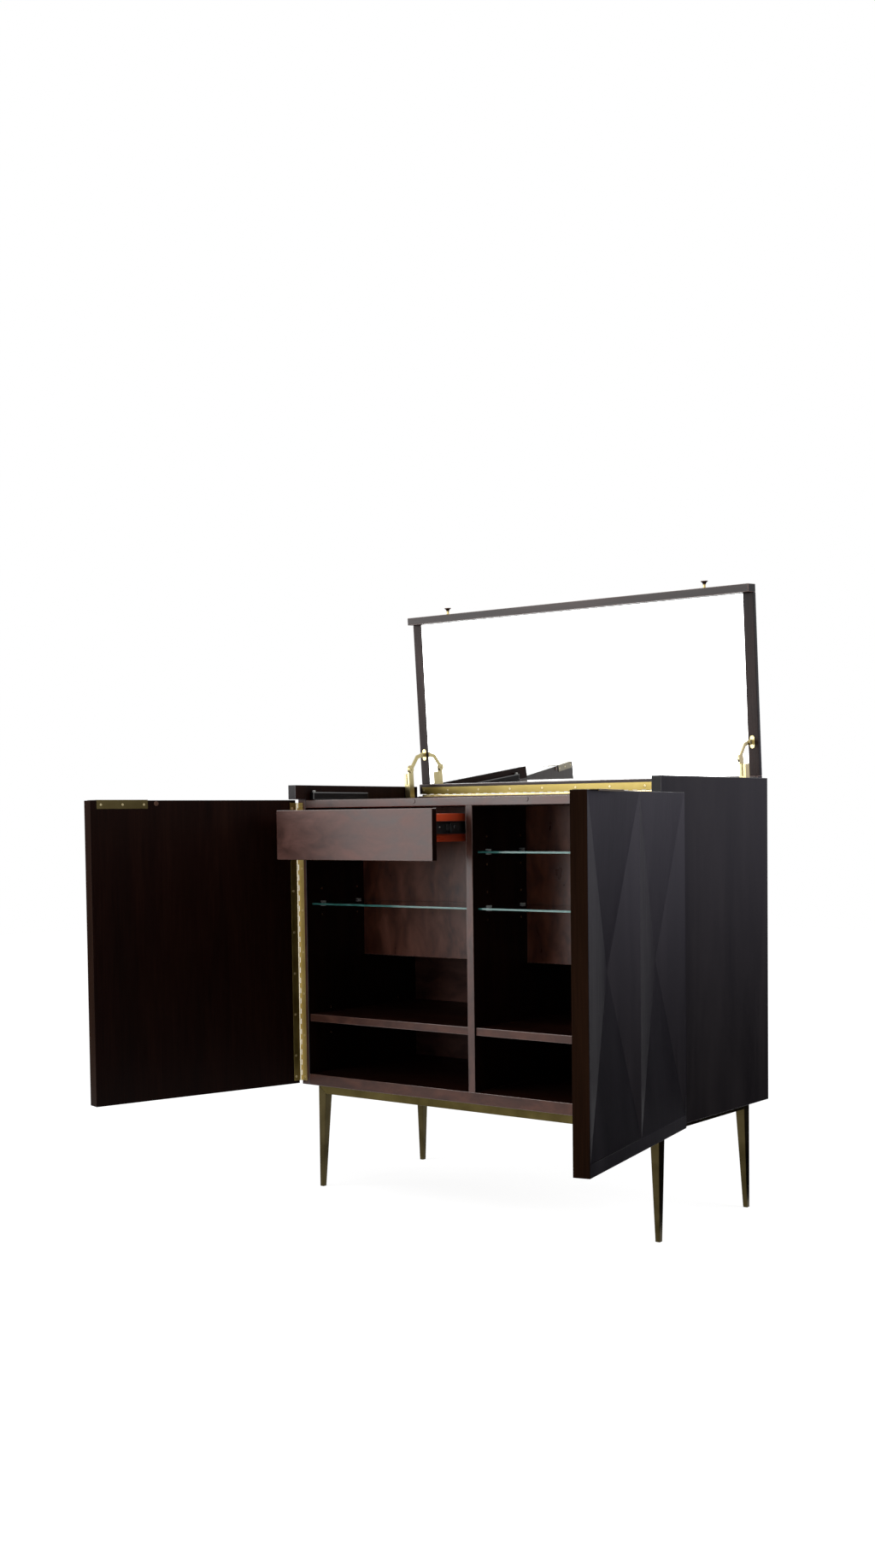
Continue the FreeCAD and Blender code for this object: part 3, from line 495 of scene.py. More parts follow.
clip_clear.colours(flow, [(0.3, (0.62, 0.66, 0.66)), (0.7, (0.78, 0.81, 0.81))])
clip_clear.roughness(flow, 0.12, 0.28)
clip_clear.set(Transmission_Weight=0.55, IOR=1.47)
for node in ("glass_shelf_left", "glass_shelf_right_lower", "glass_shelf_right_upper"):
    dress(node, [pane_glass.finish, pane_edge.finish], "case", "clear_glass", ease=0.0005,
          pick=lambda face: 0 if abs(face.normal.z) > UPWARD else 1)
dress("glass_shelf_clips", [clip_clear.finish], "case", "clip_plastic", ease=0.0012, least=0.003, steps=3)

# Doors: thick slabs with two inverted pyramids carved side by side into each front.
# They are veneered near-black, with a red-brown stain on the free edges; the backs carry a red-brown stain
# toned near-black with painted shade.
# The facets' tones and sheens differ a little, to match how the photo's light falls on them.
DOOR_AXIS_X, DOOR_AXIS_Y = 0.5351, -0.0036
DOOR_OPEN = {"left": -106.05, "right": 101.9}
DOOR_MIDDLE = 0.267
FORWARD = 0.9
LEAST_SLOPE = 0.02
# Painted light: the carved facets use lit and shaded copies of one veneer, a painted bluish sheen on most, a
# warm sheen on the hinge side and painted shade on the upward-facing lower ones.
FACET_BLUE_SHEEN = ((0.0050, 0.0043, 0.0056), (0.0094, 0.0082, 0.0102), (0.0158, 0.0140, 0.0166))
FACET_WARM_SHEEN = ((0.0056, 0.0046, 0.0053), (0.0106, 0.0089, 0.0101), (0.0178, 0.0150, 0.0166))
FACET_SHADE = ((0.0042, 0.0037, 0.0047), (0.0080, 0.0070, 0.0086), (0.0134, 0.0120, 0.0141))
EDGE = ((0.0082, 0.0029, 0.0012), (0.0160, 0.0060, 0.0026), (0.0260, 0.0103, 0.0046))
carved_near = stained_wood("carved_near", Z, FACET_BLUE_SHEEN, 0.30, 0.40, 0.13)
carved_far = stained_wood("carved_far", Z, FACET_BLUE_SHEEN, 0.30, 0.40, 0.20)
carved_low = stained_wood("carved_low", Z, FACET_SHADE, 0.30, 0.40, 0.07)
carved_free = stained_wood("carved_free", Z, FACET_BLUE_SHEEN, 0.30, 0.40, 0.12)
carved_hung = stained_wood("carved_hung", Z, FACET_WARM_SHEEN, 0.30, 0.40, 0.26)
edge_upright = stained_wood("edge_upright", Z, EDGE, 0.36, 0.48, 0.02)
door_finishes = [carved_far, carved_low, carved_free, carved_hung, shaded_upright, edge_upright, carved_near]
FAR, LOW, FREE, HUNG, BACK, FREE_EDGE, NEAR = range(len(door_finishes))
door_place = {}
for side, sign in SIDE.items():
    spot = Matrix.Translation((sign * DOOR_AXIS_X, DOOR_AXIS_Y, 0))
    door_place[side] = spot @ Matrix.Rotation(math.radians(DOOR_OPEN[side]), 4, "Z")
    into = door_place[side].inverted()

    def door_veneer(face, into=into, sign=sign):
        """The place in the door's list of finishes, by the way the face looks when the door is shut."""
        local = into.to_3x3() @ face.normal
        if local.y > FACING:
            return BACK
        if local.y > -FORWARD:
            return FREE_EDGE if local.x * sign < -FACING else FAR
        if abs(local.z) > max(abs(local.x), LEAST_SLOPE):
            if local.z > 0:
                return LOW
            return NEAR if abs((into @ face.calc_center_median()).x) > DOOR_MIDDLE else FAR
        if abs(local.x) < LEAST_SLOPE:
            return FAR
        return FREE if local.x * sign > 0 else HUNG

    dress("door_" + side, door_finishes, side + "_door", "dark_wood", ease=0.0009, pick=door_veneer,
          least=0.01, crisp=1.5)

# Long hinges: folded brass leaves with rolled knuckles that take turns along one pin.
# One hangs each door over its full height and one carries the lid; all are screwed on.
# The door leaves are toned darker than the case leaves, as the photo shows them in shade.
HINGE = {"left": Matrix.Translation((-DOOR_AXIS_X, DOOR_AXIS_Y, 0)),
         "right": Matrix.Translation((DOOR_AXIS_X, DOOR_AXIS_Y, 0)) @ Matrix.Rotation(math.pi, 4, "Y")}
LID_AXIS = Matrix.Translation((0, 0.4325, 0.968))
LID_OPEN = -86.1
lid_place = LID_AXIS @ Matrix.Rotation(math.radians(LID_OPEN), 4, "X")
LID_LAY = Matrix(((0, 0, 1, 0), (-1, 0, 0, 0), (0, -1, 0, 0), (0, 0, 0, 1)))
KNUCKLE_PITCH = 0.0127
KNUCKLE_RADIUS = 0.0024
KNUCKLE_GAP = 0.0002
KNUCKLE_EDGE = 0.00025
DOOR_HINGE = (0.26255, 0.94835)
LID_HINGE = (-0.4953, 0.4953)
hinge_brass = brass("hinge_brass", (0.50, 0.385, 0.145), (0.66, 0.530, 0.235), 0.28, 0.40)
leaf_brass = brass("leaf_brass", (0.17, 0.125, 0.034), (0.23, 0.180, 0.060), 0.28, 0.40)
# The knuckles are rubbed smooth, and their pale silvery tone is partly a painted highlight.
knuckle_brass = brass("knuckle_brass", (0.70, 0.610, 0.410), (0.88, 0.800, 0.600), 0.14, 0.24)
# The lid leaf's brass is toned darker than the case leaves as painted shade.
shaded_lid_brass = brass("shaded_lid_brass", (0.30, 0.226, 0.064), (0.41, 0.322, 0.112), 0.28, 0.40)
screw_brass = brass("screw_brass", (0.66, 0.54, 0.28), (0.86, 0.75, 0.46), 0.26, 0.4)
bronze = brass("bronze", (0.085, 0.045, 0.032), (0.14, 0.080, 0.060), 0.3, 0.45)
sink_brass = brass("sink_brass", (0.15, 0.110, 0.036), (0.22, 0.170, 0.060), 0.3, 0.42)


def block(x, y, z):
    """A box between limits along X, Y and Z."""
    work = bmesh.new()
    bmesh.ops.create_cube(work, size=1.0)
    for v in work.verts:
        v.co = [low + (c + 0.5) * (high - low) for c, (low, high) in zip(v.co, (x, y, z))]
    return work


def knuckle(tail_x, tail_y):
    """A rolled barrel along Z with the tail that joins it to its leaf."""
    half = KNUCKLE_PITCH / 2 - KNUCKLE_GAP
    mouth, shoulder = KNUCKLE_RADIUS - KNUCKLE_EDGE, half - KNUCKLE_EDGE
    barrel = turned([(0, -half), (mouth, -half), (KNUCKLE_RADIUS, -shoulder), (KNUCKLE_RADIUS, shoulder),
                     (mouth, half), (0, half)], 14)
    return gather([barrel, block(tail_x, tail_y, (-half, half))])


def crosshead(radius):
    """A countersunk screw head with a cross recess, its rim on the XY plane."""
    work = bmesh.new()
    crown, floor_share = radius * 0.9, 0.8
    wide, long, deep, proud = radius * 0.13, radius * 0.56, radius * 0.45, radius * 0.09
    plus = [(long, -wide), (long, wide), (wide, wide), (wide, long), (-wide, long), (-wide, wide),
            (-long, wide), (-long, -wide), (-wide, -wide), (-wide, -long), (wide, -long), (wide, -wide)]
    rim, top, mouth, floor = rings = [[], [], [], []]
    for x, y in plus:
        a = math.atan2(y, x)
        rim.append(work.verts.new((radius * math.cos(a), radius * math.sin(a), -proud)))
        top.append(work.verts.new((crown * math.cos(a), crown * math.sin(a), proud)))
        mouth.append(work.verts.new((x, y, proud)))
        floor.append(work.verts.new((x * floor_share, y * floor_share, proud - deep)))
    for outer, inner in zip(rings, rings[1:]):
        for i in range(len(plus)):
            j = (i + 1) % len(plus)
            work.faces.new((outer[i], outer[j], inner[j], inner[i]))
    work.faces.new(floor)
    work.faces.new(list(reversed(rim)))
    bmesh.ops.recalc_face_normals(work, faces=work.faces)
    return work


case_knuckle = pattern_part("case_knuckle", knuckle((-0.0004, 0.0023), (0.0012, 0.0035)))
leaf_knuckle = pattern_part("leaf_knuckle", knuckle((0.001, 0.0036), (0.0, 0.0012)))
leaf_screw = pattern_part("leaf_screw", crosshead(0.0031))
leaf_sink = pattern_part("leaf_sink", turned([(0, 0), (0.0040, 0), (0.0037, 0.0001), (0, 0.0001)], 16))


def hinge_leaf(node, body, lay, ends, shape, first, plate, face, screws, plate_mid, metal, rims=()):
    """One leaf: the plate with every second knuckle, and its screws set into the side that shows."""
    low, high = ends
    count = int(round((high - low) / KNUCKLE_PITCH / 2))
    start = low + (first + 0.5) * KNUCKLE_PITCH
    knuckles = row_of(shape, count, (0, 0, start), (0, 0, 2 * KNUCKLE_PITCH), (0, 0, 1), metal)
    work = gather([block(*plate, (low, high)), knuckles])
    bmesh.ops.transform(work, matrix=lay, verts=work.verts)
    back = lay.inverted()

    def rubbed_and_highlit_barrel(face):
        """The second finish on the knuckles, and the first on the plate."""
        return 1 if (back @ face.calc_center_median()).xy.length < KNUCKLE_RADIUS else 0

    make_piece(node + "_finished", work, [metal, knuckle_brass], body, "hinge_brass", node, ease=0.00022,
               pick=rubbed_and_highlit_barrel, least=0.05)
    outward, height = face
    for label, shape, finish in (("_screws", leaf_screw, screw_brass), *rims):
        work = gather([row_of(shape, n, (plate_mid, height, at), (0, 0, step), (0, outward, 0), finish)
                       for at, step, n in screws])
        bmesh.ops.transform(work, matrix=lay, verts=work.verts)
        make_piece(node + label, work, [finish], body, "hinge_brass")


CASE_PLATE = ((0.002, 0.0175), (0.0024, 0.0036))
DOOR_PLATE = ((0.0032, 0.0195), (0.0, 0.0012))
LID_PLATE = ((0.0032, 0.0215), (0.0, 0.0012))
CASE_FACE, LEAF_FACE = (-1, 0.0024), (1, 0.0012)
DOOR_SCREWS = [(0.273, 0.1016, 1), (0.325, 0.1016, 7)]
CASE_SCREWS = [(0.272, 0.103, 7), (0.940, 0.103, 1)]
LID_SCREWS = [(-0.490, 0.1016, 1), (-0.4087, 0.1016, 9), (0.489, 0.1016, 1)]
BACK_SCREWS = [(-0.470, 0.1016, 10), (0.486, 0.1016, 1)]
CASE_MID, DOOR_MID, BACK_MID, LID_MID = 0.0118, 0.0132, 0.0105, 0.0128
for side in SIDE:
    upright = Matrix() if side == "left" else Matrix.Rotation(math.pi, 4, "Y")
    flip = 1 if side == "left" else -1
    ends = DOOR_HINGE if side == "left" else (-DOOR_HINGE[1], -DOOR_HINGE[0])
    first = 0 if side == "left" else 1
    case_screws = [(flip * at, flip * step, n) for at, step, n in CASE_SCREWS]
    door_screws = [(flip * at, flip * step, n) for at, step, n in DOOR_SCREWS]
    hinge_leaf("case_leaf_" + side, "case", HINGE[side], ends, case_knuckle, first, CASE_PLATE, CASE_FACE,
               case_screws, CASE_MID, hinge_brass)
    hinge_leaf("door_leaf_" + side, side + "_door", door_place[side] @ upright, ends, leaf_knuckle, 1 - first,
               DOOR_PLATE, LEAF_FACE, door_screws, DOOR_MID, leaf_brass)
hinge_leaf("case_leaf_lid", "case", LID_AXIS @ LID_LAY, LID_HINGE, case_knuckle, 0, CASE_PLATE, CASE_FACE,
           BACK_SCREWS, BACK_MID, hinge_brass)
hinge_leaf("lid_leaf", "lid", lid_place @ LID_LAY, LID_HINGE, leaf_knuckle, 1, LID_PLATE, LEAF_FACE,
           LID_SCREWS, LID_MID, shaded_lid_brass, [("_sinks", leaf_sink, sink_brass)])
for shape in (case_knuckle, leaf_knuckle, leaf_screw, leaf_sink):
    bpy.data.objects.remove(shape)
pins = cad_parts["hinge_pins"]
pins.data.materials.clear()
pins.data.materials.append(hinge_brass)

# Door pulls: brass sheet, darkened with painted shade, folded over the top edge of each door, with a finger
# lip beyond the front.
# Three screws hold each; beside it a strike disc meets a brown-capped magnet in the deck's front edge.
PULL_SCREWS = (0.403, 0.0526, 3)
PULL_FACE, PULL_SCREW_UP = 0.0012, 0.9455
STRIKE_ALONG, STRIKE_UP, STRIKE_RADIUS, STRIKE_TALL = 0.372, 0.9476, 0.0055, 0.0015
STRIKE_SHARES = ((0, 0), (1, 0), (1, 0.7), (0.93, 1), (0.72, 1), (0.68, 0.75), (0.62, 0.75), (0.58, 1),
                 (0.2, 1), (0.12, 0.6), (0, 0.6))
MAGNET_TALL, MAGNET_EDGE = 0.0012, 0.0004
DISC_SIDES = 28
pull_screw = pattern_part("pull_screw", crosshead(0.0027))
# The pulls' brass is toned very dark as painted shade.
shaded_pull_brass = brass("shaded_pull_brass", (0.075, 0.058, 0.022), (0.125, 0.098, 0.042), 0.26, 0.38)
for side, sign in SIDE.items():
    body = side + "_door"
    at, step, count = PULL_SCREWS
    dress("door_pull_" + side, [shaded_pull_brass], body, "hinge_brass", ease=0.0003, least=0.003)
    heads = row_of(pull_screw, count, (-sign * at, PULL_FACE, PULL_SCREW_UP), (-sign * step, 0, 0), (0, 1, 0),
                   screw_brass)
    work = gather([heads])
    bmesh.ops.transform(work, matrix=door_place[side], verts=work.verts)
    make_piece("door_pull_screws_" + side, work, [screw_brass], body, "hinge_brass")
    spot = Matrix.Translation((-sign * STRIKE_ALONG, 0, STRIKE_UP)) @ Matrix.Rotation(-math.pi / 2, 4, "X")
    disc = turned([(STRIKE_RADIUS * r, STRIKE_TALL * z) for r, z in STRIKE_SHARES], DISC_SIDES,
                  door_place[side] @ spot)
    make_piece("door_strike_disc_" + side, disc, [bronze], body, "bright_steel", "door_strike_" + side)
magnets = []
for sign in SIDE.values():
    spot = Matrix.Translation((sign * (DOOR_AXIS_X - STRIKE_ALONG), 0, STRIKE_UP))
    magnets.append(turned([(0, 0), (STRIKE_RADIUS, 0), (STRIKE_RADIUS, MAGNET_TALL - MAGNET_EDGE),
                           (STRIKE_RADIUS - MAGNET_EDGE, MAGNET_TALL), (0, MAGNET_TALL)], DISC_SIDES,
                          spot @ Matrix.Rotation(math.pi / 2, 4, "X")))
make_piece("catch_magnets_finished", gather(magnets), [deck_across], "case", "bright_steel", "catch_magnets")
bpy.data.objects.remove(pull_screw)

# Drawer: a brown front on a box of red-orange lacquered boards.
# It runs on black steel channels with a release lever and riveted ends.
red_lacquer = Recipe("red_lacquer")
streak = red_lacquer.noise((60, 6, 60), 4.0, 0.55, 0.3)
orange_peel = red_lacquer.noise((900, 900, 900), 2.0)
red_lacquer.colours(streak, [(0.3, (0.62, 0.055, 0.014)), (0.7, (0.78, 0.100, 0.030))])
red_lacquer.roughness(streak, 0.26, 0.4)
red_lacquer.bump(orange_peel, 0.05, 0.0002)
black_steel = Recipe("black_steel")
phosphate = black_steel.noise((140, 140, 140), 4.0)
black_steel.colours(phosphate, [(0.3, (0.006, 0.006, 0.0065)), (0.7, (0.016, 0.016, 0.017))])
black_steel.roughness(phosphate, 0.3, 0.5)
black_steel.bump(phosphate, 0.06, 0.0002)
DRAWER = ((0.0450, 0.0140, 0.0092), (0.0850, 0.0310, 0.0222), (0.1400, 0.0560, 0.0425))
drawer_across = stained_wood("drawer_across", X, DRAWER, 0.32, 0.44, 0.40, 0.8)
# The drawer front's two ends take the shaded veneer as painted shade.
dress("drawer_front", [drawer_across, shaded_upright], "drawer", "brown_wood", ease=0.0014,
      pick=lambda face: 1 if abs(face.normal.x) > FACING else 0, rubbed=rubbed_sheen_brown)
for node in ("drawer_side_left", "drawer_side_right", "drawer_back", "drawer_bottom"):
    dress(node, [red_lacquer.finish], "drawer", "red_lacquer", ease=0.0008)
for node, body in (("runners_outer", "case"), ("runners_inner", "drawer")):
    dress(node, [black_steel.finish], body, "black_steel", ease=0.0003, least=0.02)
RUNNER_Z = 0.886
WEB = 0.0114
RIVETS, RIVET_INSET, RIVET_STEP = 4, 0.012, (0, 0.050, 0)
LEVER_Y = -0.046
LEVER_PARTS = ((0.0052, WEB, 0.0, 0.034, 0.0115), (0.0066, WEB, -0.013, 0.0, 0.0070),
               (0.0040, 0.0052, 0.010, 0.028, 0.0045))
RIVET_PROFILE = [(0, 0), (0.0028, 0), (0.0026, 0.0006), (0.0014, 0.0011), (0, 0.0012)]
rivet = pattern_part("rivet", turned(RIVET_PROFILE, 12))
low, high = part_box("runners_inner")
fittings, rivets = [], []
for wall, inward in ((-INNER_WALL, 1), (-DIVIDER_WALL, -1)):
    rivets.append(row_of(rivet, RIVETS, (wall + inward * WEB, low.y + RIVET_INSET, RUNNER_Z), RIVET_STEP,
                         (-inward, 0, 0), plated.finish))
    for near, far, front, rear, half in LEVER_PARTS:
        across = sorted((wall + inward * near, wall + inward * far))
        fittings.append(block(across, (LEVER_Y + front, LEVER_Y + rear), (RUNNER_Z - half, RUNNER_Z + half)))
make_piece("runner_rivets", gather(rivets), [plated.finish], "drawer", "bright_steel")
make_piece("runner_fittings", gather(fittings), [black_steel.finish], "drawer", "black_steel", ease=0.0008,
           least=0.004)
bpy.data.objects.remove(rivet)

# Lid: a frame of four rails round a mirror, backed by a near-black panel.
# Its front bar hangs over the doors when shut and carries two turned brass knobs.
silvered = Recipe("silvered_glass")
bloom = silvered.noise((5, 5, 5), 4.0, 0.6, 0.5)
silvered.colours(bloom, [(0.3, (0.93, 0.94, 0.935)), (0.7, (0.96, 0.965, 0.96))])
silvered.roughness(bloom, 0.0, 0.02)
silvered.set(Metallic=1.0)
LID_WOOD = ((0.0090, 0.0044, 0.0038), (0.0280, 0.0155, 0.0138), (0.0640, 0.0400, 0.0370))
lid_across = stained_wood("lid_across", X, LID_WOOD, 0.30, 0.42, 0.30)
lid_upright = stained_wood("lid_upright", Z, LID_WOOD, 0.30, 0.42, 0.13)
out_of_lid = lid_place.inverted()


def lid_veneer(face):
    """The second finish on what is outside when the lid is shut and on right-hand ends, else the first."""
    shut_normal = out_of_lid.to_3x3() @ face.normal
    return 1 if shut_normal.z > FACING or face.normal.x > FACING else 0


for node in ("lid_front_bar", "lid_rear_rail"):
    dress(node, [lid_across, ebony_across], "lid", "dark_wood", ease=0.0012, pick=lid_veneer,
          rubbed=rubbed_sheen_brown)
for node in ("lid_stile_left", "lid_stile_right"):
    dress(node, [lid_upright, ebony_upright], "lid", "dark_wood", ease=0.0010, pick=lid_veneer)
dress("lid_panel", [ebony_across], "lid", "dark_wood", ease=0.0006)
dress("lid_mirror", [silvered.finish], "lid", "mirror_glass", ease=0.0005)
KNOB_PLACES = (-0.382, 0.382)
KNOB_SEAT, KNOB_UP = -0.466, 0.0065
KNOB_CROWN = -0.476
KNOB_PROFILE = [(0, 0), (0.0046, 0), (0.0046, 0.0012), (0.0041, 0.0018), (0.0030, 0.0022), (0.0027, 0.0034),
                (0.0028, 0.0066), (0.0033, 0.0092), (0.0044, 0.0118), (0.0062, 0.0140), (0.0080, 0.0152),
                (0.0085, 0.0158), (0.0085, 0.0165), (0.0081, 0.0170), (0.0062, 0.0168), (0.0058, 0.0166),
                (0, 0.0166)]
knobs = []
for x in KNOB_PLACES:
    spot = Matrix.Translation((x, KNOB_SEAT, KNOB_UP)) @ Matrix.Rotation(math.pi / 2, 4, "X")
    knobs.append(turned(KNOB_PROFILE, 36, lid_place @ spot))
make_piece("lid_knobs_finished", gather(knobs), [hinge_brass, bronze], "lid", "hinge_brass", "lid_knobs",
           pick=lambda face: 1 if (out_of_lid @ face.calc_center_median()).y < KNOB_CROWN else 0)

# Lid stays: on each side a foot plate in the well, a square casing on it, and a cranked arm to the lid.
# They are stamped and folded pale brass, riveted at the pivots, with a two-screw bracket on the stile.
stay_brass = brass("stay_brass", (0.49, 0.41, 0.19), (0.65, 0.56, 0.31), 0.26, 0.40)
STAY_FOOT = Vector((0, 0.388, 0.9295))
STAY_REACH, STAY_DROP = 0.107, 0.0027
STILE_UNDER = 0.0113
BRACKET_OUT, BRACKET_HALF, BRACKET_ROUND = 0.0191, 0.009, 0.006
LUG_NEAR, LUG_FAR, LUG_TOP, LUG_ROUND = 0.0163, 0.0188, 0.0056, 0.0055
PIVOT_NEAR, PIVOT_FAR = 0.0165, 0.0230
FOOT_HALF, FOOT_ROUND = 0.013, 0.012
PLATE_THICK = 0.002
BRACKET_SCREW_HALF, FOOT_SCREW_HALF = 0.0095, 0.0195
STUD_RADIUS, HEAD_RADIUS, HEAD_TALL, HEAD_EDGE = 0.0025, 0.0034, 0.0008, 0.0003


def flat_plate(outline, low, high):
    """A flat plate with that outline in Y and Z, between two X planes."""
    work = bmesh.new()
    face = work.faces.new([work.verts.new((low, y, z)) for y, z in outline])
    grown = bmesh.ops.extrude_face_region(work, geom=[face])
    for item in grown["geom"]:
        if isinstance(item, bmesh.types.BMVert):
            item.co.x = high
    bmesh.ops.recalc_face_normals(work, faces=work.faces)
    return work


def rounded_ends(a, b, radius, count=12):
    """An outline with round ends about two points."""
    a, b = Vector(a), Vector(b)
    heading = math.atan2((b - a).y, (b - a).x)
    outline = []
    for centre, base in ((b, heading - math.pi / 2), (a, heading + math.pi / 2)):
        for i in range(count + 1):
            angle = base + math.pi * i / count
            outline.append((centre.x + radius * math.cos(angle), centre.y + radius * math.sin(angle)))
    return outline


def stud(matrix, near, far):
    """A round rivet along X with a low domed head at its far end."""
    lean = Matrix.Rotation(math.copysign(math.pi / 2, far - near), 4, "Y")
    long = abs(far - near)
    return turned([(0, 0), (STUD_RADIUS, 0), (STUD_RADIUS, long - HEAD_TALL), (HEAD_RADIUS, long - HEAD_TALL),
                   (HEAD_RADIUS * 0.9, long - HEAD_EDGE), (HEAD_RADIUS * 0.5, long), (0, long)], 20,
                  matrix @ Matrix.Translation((near, 0, 0)) @ lean)


def off_wall(sign, distance):
    """The X place at that distance from the inner face of a side panel."""
    return sign * (INNER_WALL - distance)


bracket_screw = pattern_part("bracket_screw", crosshead(0.0033))
brackets, feet, bracket_heads, foot_heads = [], [], [], []
for sign in SIDE.values():
    middle = off_wall(sign, BRACKET_OUT)
    plate = flat_plate(rounded_ends((-BRACKET_HALF, 0), (BRACKET_HALF, 0), BRACKET_ROUND), 0, PLATE_THICK)
    stand = Matrix(((0, 0, 1, middle), (0, 1, 0, -STAY_REACH), (-1, 0, 0, STILE_UNDER), (0, 0, 0, 1)))
    bmesh.ops.transform(plate, matrix=lid_place @ stand, verts=plate.verts)
    lug = flat_plate(rounded_ends((-STAY_REACH, -STAY_DROP), (-STAY_REACH, LUG_TOP), LUG_ROUND),
                     off_wall(sign, LUG_NEAR), off_wall(sign, LUG_FAR))
    bmesh.ops.transform(lug, matrix=lid_place, verts=lug.verts)
    pivot = lid_place @ Matrix.Translation((0, -STAY_REACH, -STAY_DROP))
    brackets += [plate, lug, stud(pivot, off_wall(sign, PIVOT_NEAR), off_wall(sign, PIVOT_FAR))]
    heads = row_of(bracket_screw, 2, (middle, -STAY_REACH - BRACKET_SCREW_HALF, STILE_UNDER - PLATE_THICK),
                   (0, 2 * BRACKET_SCREW_HALF, 0), (0, 0, -1), screw_brass)
    heads.transform(lid_place)
    bracket_heads.append(heads)
    y, z = STAY_FOOT.y, STAY_FOOT.z
    feet.append(flat_plate(rounded_ends((y, z - FOOT_HALF), (y, z + FOOT_HALF), FOOT_ROUND),
                           off_wall(sign, 0), off_wall(sign, PLATE_THICK)))
    feet.append(stud(Matrix.Translation(STAY_FOOT), off_wall(sign, 0), off_wall(sign, LUG_FAR)))
    foot_heads.append(row_of(bracket_screw, 2, (off_wall(sign, PLATE_THICK), y, z - FOOT_SCREW_HALF),
                             (0, 0, 2 * FOOT_SCREW_HALF), (-sign, 0, 0), screw_brass))
make_piece("stay_brackets_finished", gather(brackets), [stay_brass], "lid", "stay_brass", "stay_brackets",
           ease=0.0004, least=0.0006)
make_piece("stay_bracket_screws", gather(bracket_heads), [screw_brass], "lid", "stay_brass")
make_piece("stay_feet_finished", gather(feet), [stay_brass], "case", "stay_brass", "stay_feet", ease=0.0003,
           least=0.0006)
make_piece("stay_foot_screws", gather(foot_heads), [screw_brass], "case", "stay_brass")
for side in SIDE:
    casing, arm = "stay_casing_" + side, "stay_arm_" + side
    dress(casing, [stay_brass], casing, "stay_brass", ease=0.0009, steps=3)
    dress(arm, [stay_brass], arm, "stay_brass", ease=0.0005, least=0.0006)
bpy.data.objects.remove(bracket_screw)

# Floor and surround: a pale paper floor that keeps a soft shadow, and a white room round it.
# Both look white to the camera and in reflections, and light the piece only a little.
FLOOR_HALF = 9.0
FLOOR_GREY = (0.42, 0.42, 0.42, 1)
WHITE = (1, 1, 1, 1)
floor_corners = [(-FLOOR_HALF, -FLOOR_HALF, 0), (FLOOR_HALF, -FLOOR_HALF, 0), (FLOOR_HALF, FLOOR_HALF, 0),
                 (-FLOOR_HALF, FLOOR_HALF, 0)]
floor_mesh = bpy.data.meshes.new("floor")
floor_mesh.from_pydata(floor_corners, [], [(0, 1, 2, 3)])
floor = bpy.data.objects.new("floor", floor_mesh)
scene.collection.objects.link(floor)
pale = bpy.data.materials.new("pale_floor")
pale.use_nodes = True
nodes, links = pale.node_tree.nodes, pale.node_tree.links
nodes.remove(nodes["Principled BSDF"])
floor_mesh.materials.append(pale)


def seen_directly(nodes, links):
    """One for rays that show the surround: camera, glossy and transmission rays."""
    path = nodes.new("ShaderNodeLightPath")
    first = nodes.new("ShaderNodeMath")
    first.operation = "MAXIMUM"
    second = nodes.new("ShaderNodeMath")
    second.operation = "MAXIMUM"
    links.new(path.outputs["Is Camera Ray"], first.inputs[0])
    links.new(path.outputs["Is Glossy Ray"], first.inputs[1])
    links.new(first.outputs[0], second.inputs[0])
    links.new(path.outputs["Is Transmission Ray"], second.inputs[1])
    return second.outputs[0]


def graded(nodes, links, value, span, levels, manner="LINEAR"):
    """Maps a value's span to two levels."""
    grade = nodes.new("ShaderNodeMapRange")
    grade.interpolation_type = manner
    for label, number in zip(("From Min", "From Max", "To Min", "To Max"), (*span, *levels)):
        grade.inputs[label].default_value = number
    links.new(value, grade.inputs["Value"])
    return grade.outputs["Result"]


matt = nodes.new("ShaderNodeBsdfDiffuse")
matt.inputs["Color"].default_value = FLOOR_GREY
glow = nodes.new("ShaderNodeEmission")
links.new(seen_directly(nodes, links), glow.inputs["Strength"])
spot = nodes.new("ShaderNodeTexCoord")
away = nodes.new("ShaderNodeVectorMath")
away.operation = "LENGTH"
links.new(spot.outputs["Object"], away.inputs[0])
links.new(graded(nodes, links, away.outputs["Value"], (1.0, 4.5), (0.86, 1.0)), glow.inputs["Color"])
both = nodes.new("ShaderNodeAddShader")
links.new(matt.outputs[0], both.inputs[0])
links.new(glow.outputs[0], both.inputs[1])
links.new(both.outputs[0], nodes["Material Output"].inputs["Surface"])

world = bpy.data.worlds.new("white_surround")
scene.world = world
world.use_nodes = True
nodes, links = world.node_tree.nodes, world.node_tree.links
dim = nodes["Background"]
dim.inputs["Color"].default_value = WHITE
dim.inputs["Strength"].default_value = 0.12
bright = nodes.new("ShaderNodeBackground")
bright.inputs["Color"].default_value = WHITE
bright.inputs["Strength"].default_value = 1.0
choose = nodes.new("ShaderNodeMixShader")
links.new(seen_directly(nodes, links), choose.inputs["Fac"])
links.new(dim.outputs[0], choose.inputs[1])
links.new(bright.outputs[0], choose.inputs[2])
links.new(choose.outputs[0], nodes["World Output"].inputs["Surface"])

# Lamps and cards: three soft lamps, and glowing grey cards that only reflections show, as painted reflections
# of a darker studio.
# The cards stand behind and on the left and lie on the right, and their glow is painted darker towards the
# floor and the left.


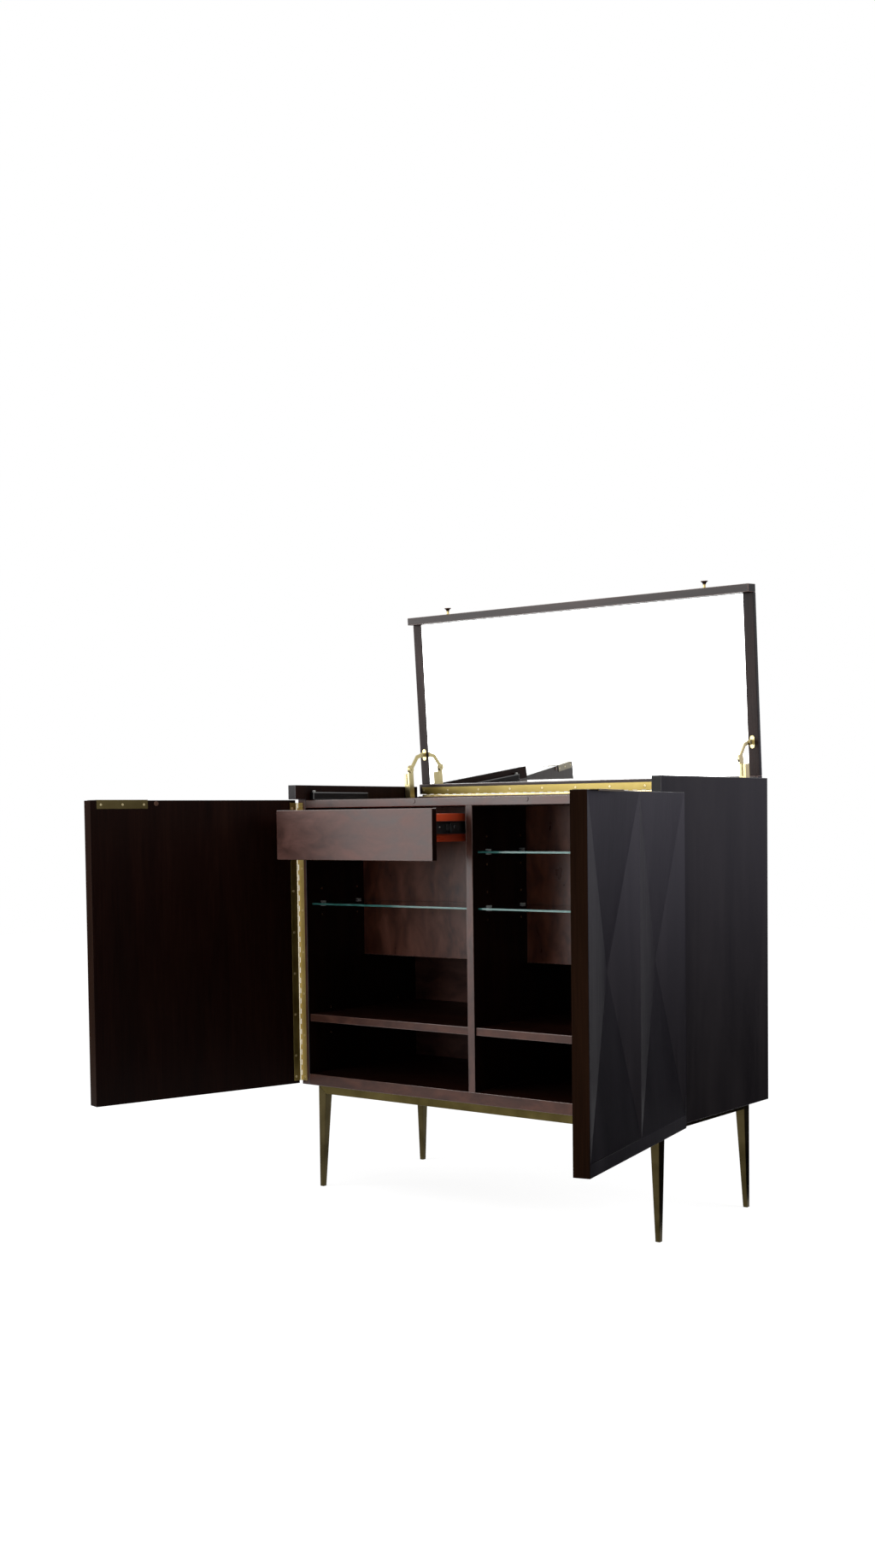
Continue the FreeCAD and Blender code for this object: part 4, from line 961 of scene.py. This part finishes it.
def soft_lamp(name, place, target, size, power):
    """A rectangular soft lamp that looks at its target."""
    lamp = bpy.data.lights.new(name, "AREA")
    lamp.shape = "RECTANGLE"
    lamp.size, lamp.size_y = size
    lamp.energy = power
    holder = bpy.data.objects.new(name, lamp)
    scene.collection.objects.link(holder)
    holder.location = place
    holder.rotation_euler = (Vector(target) - Vector(place)).to_track_quat("-Z", "Y").to_euler()
    return holder


soft_lamp("front_left_softbox", (-2.2, -2.75, 1.55), (-0.1, 0.0, 0.80), (3.0, 2.4), 92)
soft_lamp("overhead_softbox", (0.4, -0.6, 3.4), (0.0, 0.1, 0.5), (2.6, 2.6), 30)
soft_lamp("right_fill", (3.2, 1.2, 1.6), (0.5, 0.0, 0.6), (2.0, 2.0), 60).visible_glossy = False

CARD_FOOT, REAR_TOP, LEFT_TOP = 0.004, 1.3, 1.5
REAR_CARD = ((0.3, 3.4), (4.6, 2.0))
LYING_FRONT = ((0.62, -0.8), (2.8, -1.3))
LEFT_CARD = ((-2.6, -1.3), (-2.6, 2.5))
CARD_TINT = (0.90, 0.86, 1.08, 1)
(rear_a, rear_b), (left_a, left_b) = REAR_CARD, LEFT_CARD
card_corners = [(*place, CARD_FOOT) for place in REAR_CARD] + [(*rear_b, REAR_TOP), (*rear_a, REAR_TOP)]
card_corners += [(*place, CARD_FOOT) for place in LYING_FRONT + LEFT_CARD]
card_corners += [(*left_b, LEFT_TOP), (*left_a, LEFT_TOP)]
card_mesh = bpy.data.meshes.new("grey_cards")
card_mesh.from_pydata(card_corners, [], [(0, 1, 2, 3), (4, 5, 1, 0), (6, 7, 8, 9)])
reflection_glow = bpy.data.materials.new("reflection_glow")
reflection_glow.use_nodes = True
nodes, links = reflection_glow.node_tree.nodes, reflection_glow.node_tree.links
nodes.remove(nodes["Principled BSDF"])
tone = nodes.new("ShaderNodeEmission")
tone.inputs["Color"].default_value = CARD_TINT
spot = nodes.new("ShaderNodeTexCoord")
apart = nodes.new("ShaderNodeSeparateXYZ")
links.new(spot.outputs["Object"], apart.inputs[0])
product = nodes.new("ShaderNodeMath")
product.operation = "MULTIPLY"
upward = graded(nodes, links, apart.outputs["Z"], (0.0, 1.3), (0.03, 0.84), "SMOOTHSTEP")
rightward = graded(nodes, links, apart.outputs["X"], (0.5, 2.1), (0.33, 1.35), "SMOOTHSTEP")
links.new(upward, product.inputs[0])
links.new(rightward, product.inputs[1])
links.new(product.outputs[0], tone.inputs["Strength"])
links.new(tone.outputs[0], nodes["Material Output"].inputs["Surface"])
card_mesh.materials.append(reflection_glow)
cards = bpy.data.objects.new("grey_cards", card_mesh)
scene.collection.objects.link(cards)
cards.visible_camera = False
cards.visible_diffuse = False
cards.visible_shadow = False
cards.visible_transmission = False

# Camera: a moderate lens at about the deck's height, to the right of the cabinet's front.
# Its place, turn and lens are fitted to measured corners of the photo.
CAMERA_PLACE = (2.3475, -2.9712, 0.9061)
camera = bpy.data.cameras.new("camera")
camera.sensor_width = 36.0
camera.lens = 38.21
camera.shift_x = -0.0570
camera.shift_y = 0.0700
camera.clip_end = 60
eye = bpy.data.objects.new("camera", camera)
scene.collection.objects.link(eye)
right = Vector((0.80579, 0.59212, -0.00997))
up = Vector((-0.01897, 0.04264, 0.99891))
back = Vector((0.59190, -0.80472, 0.04559))
eye.matrix_world = Matrix.Translation(CAMERA_PLACE) @ Matrix((right, up, back)).transposed().to_4x4()
scene.camera = eye
scene.view_settings.view_transform = "Standard"
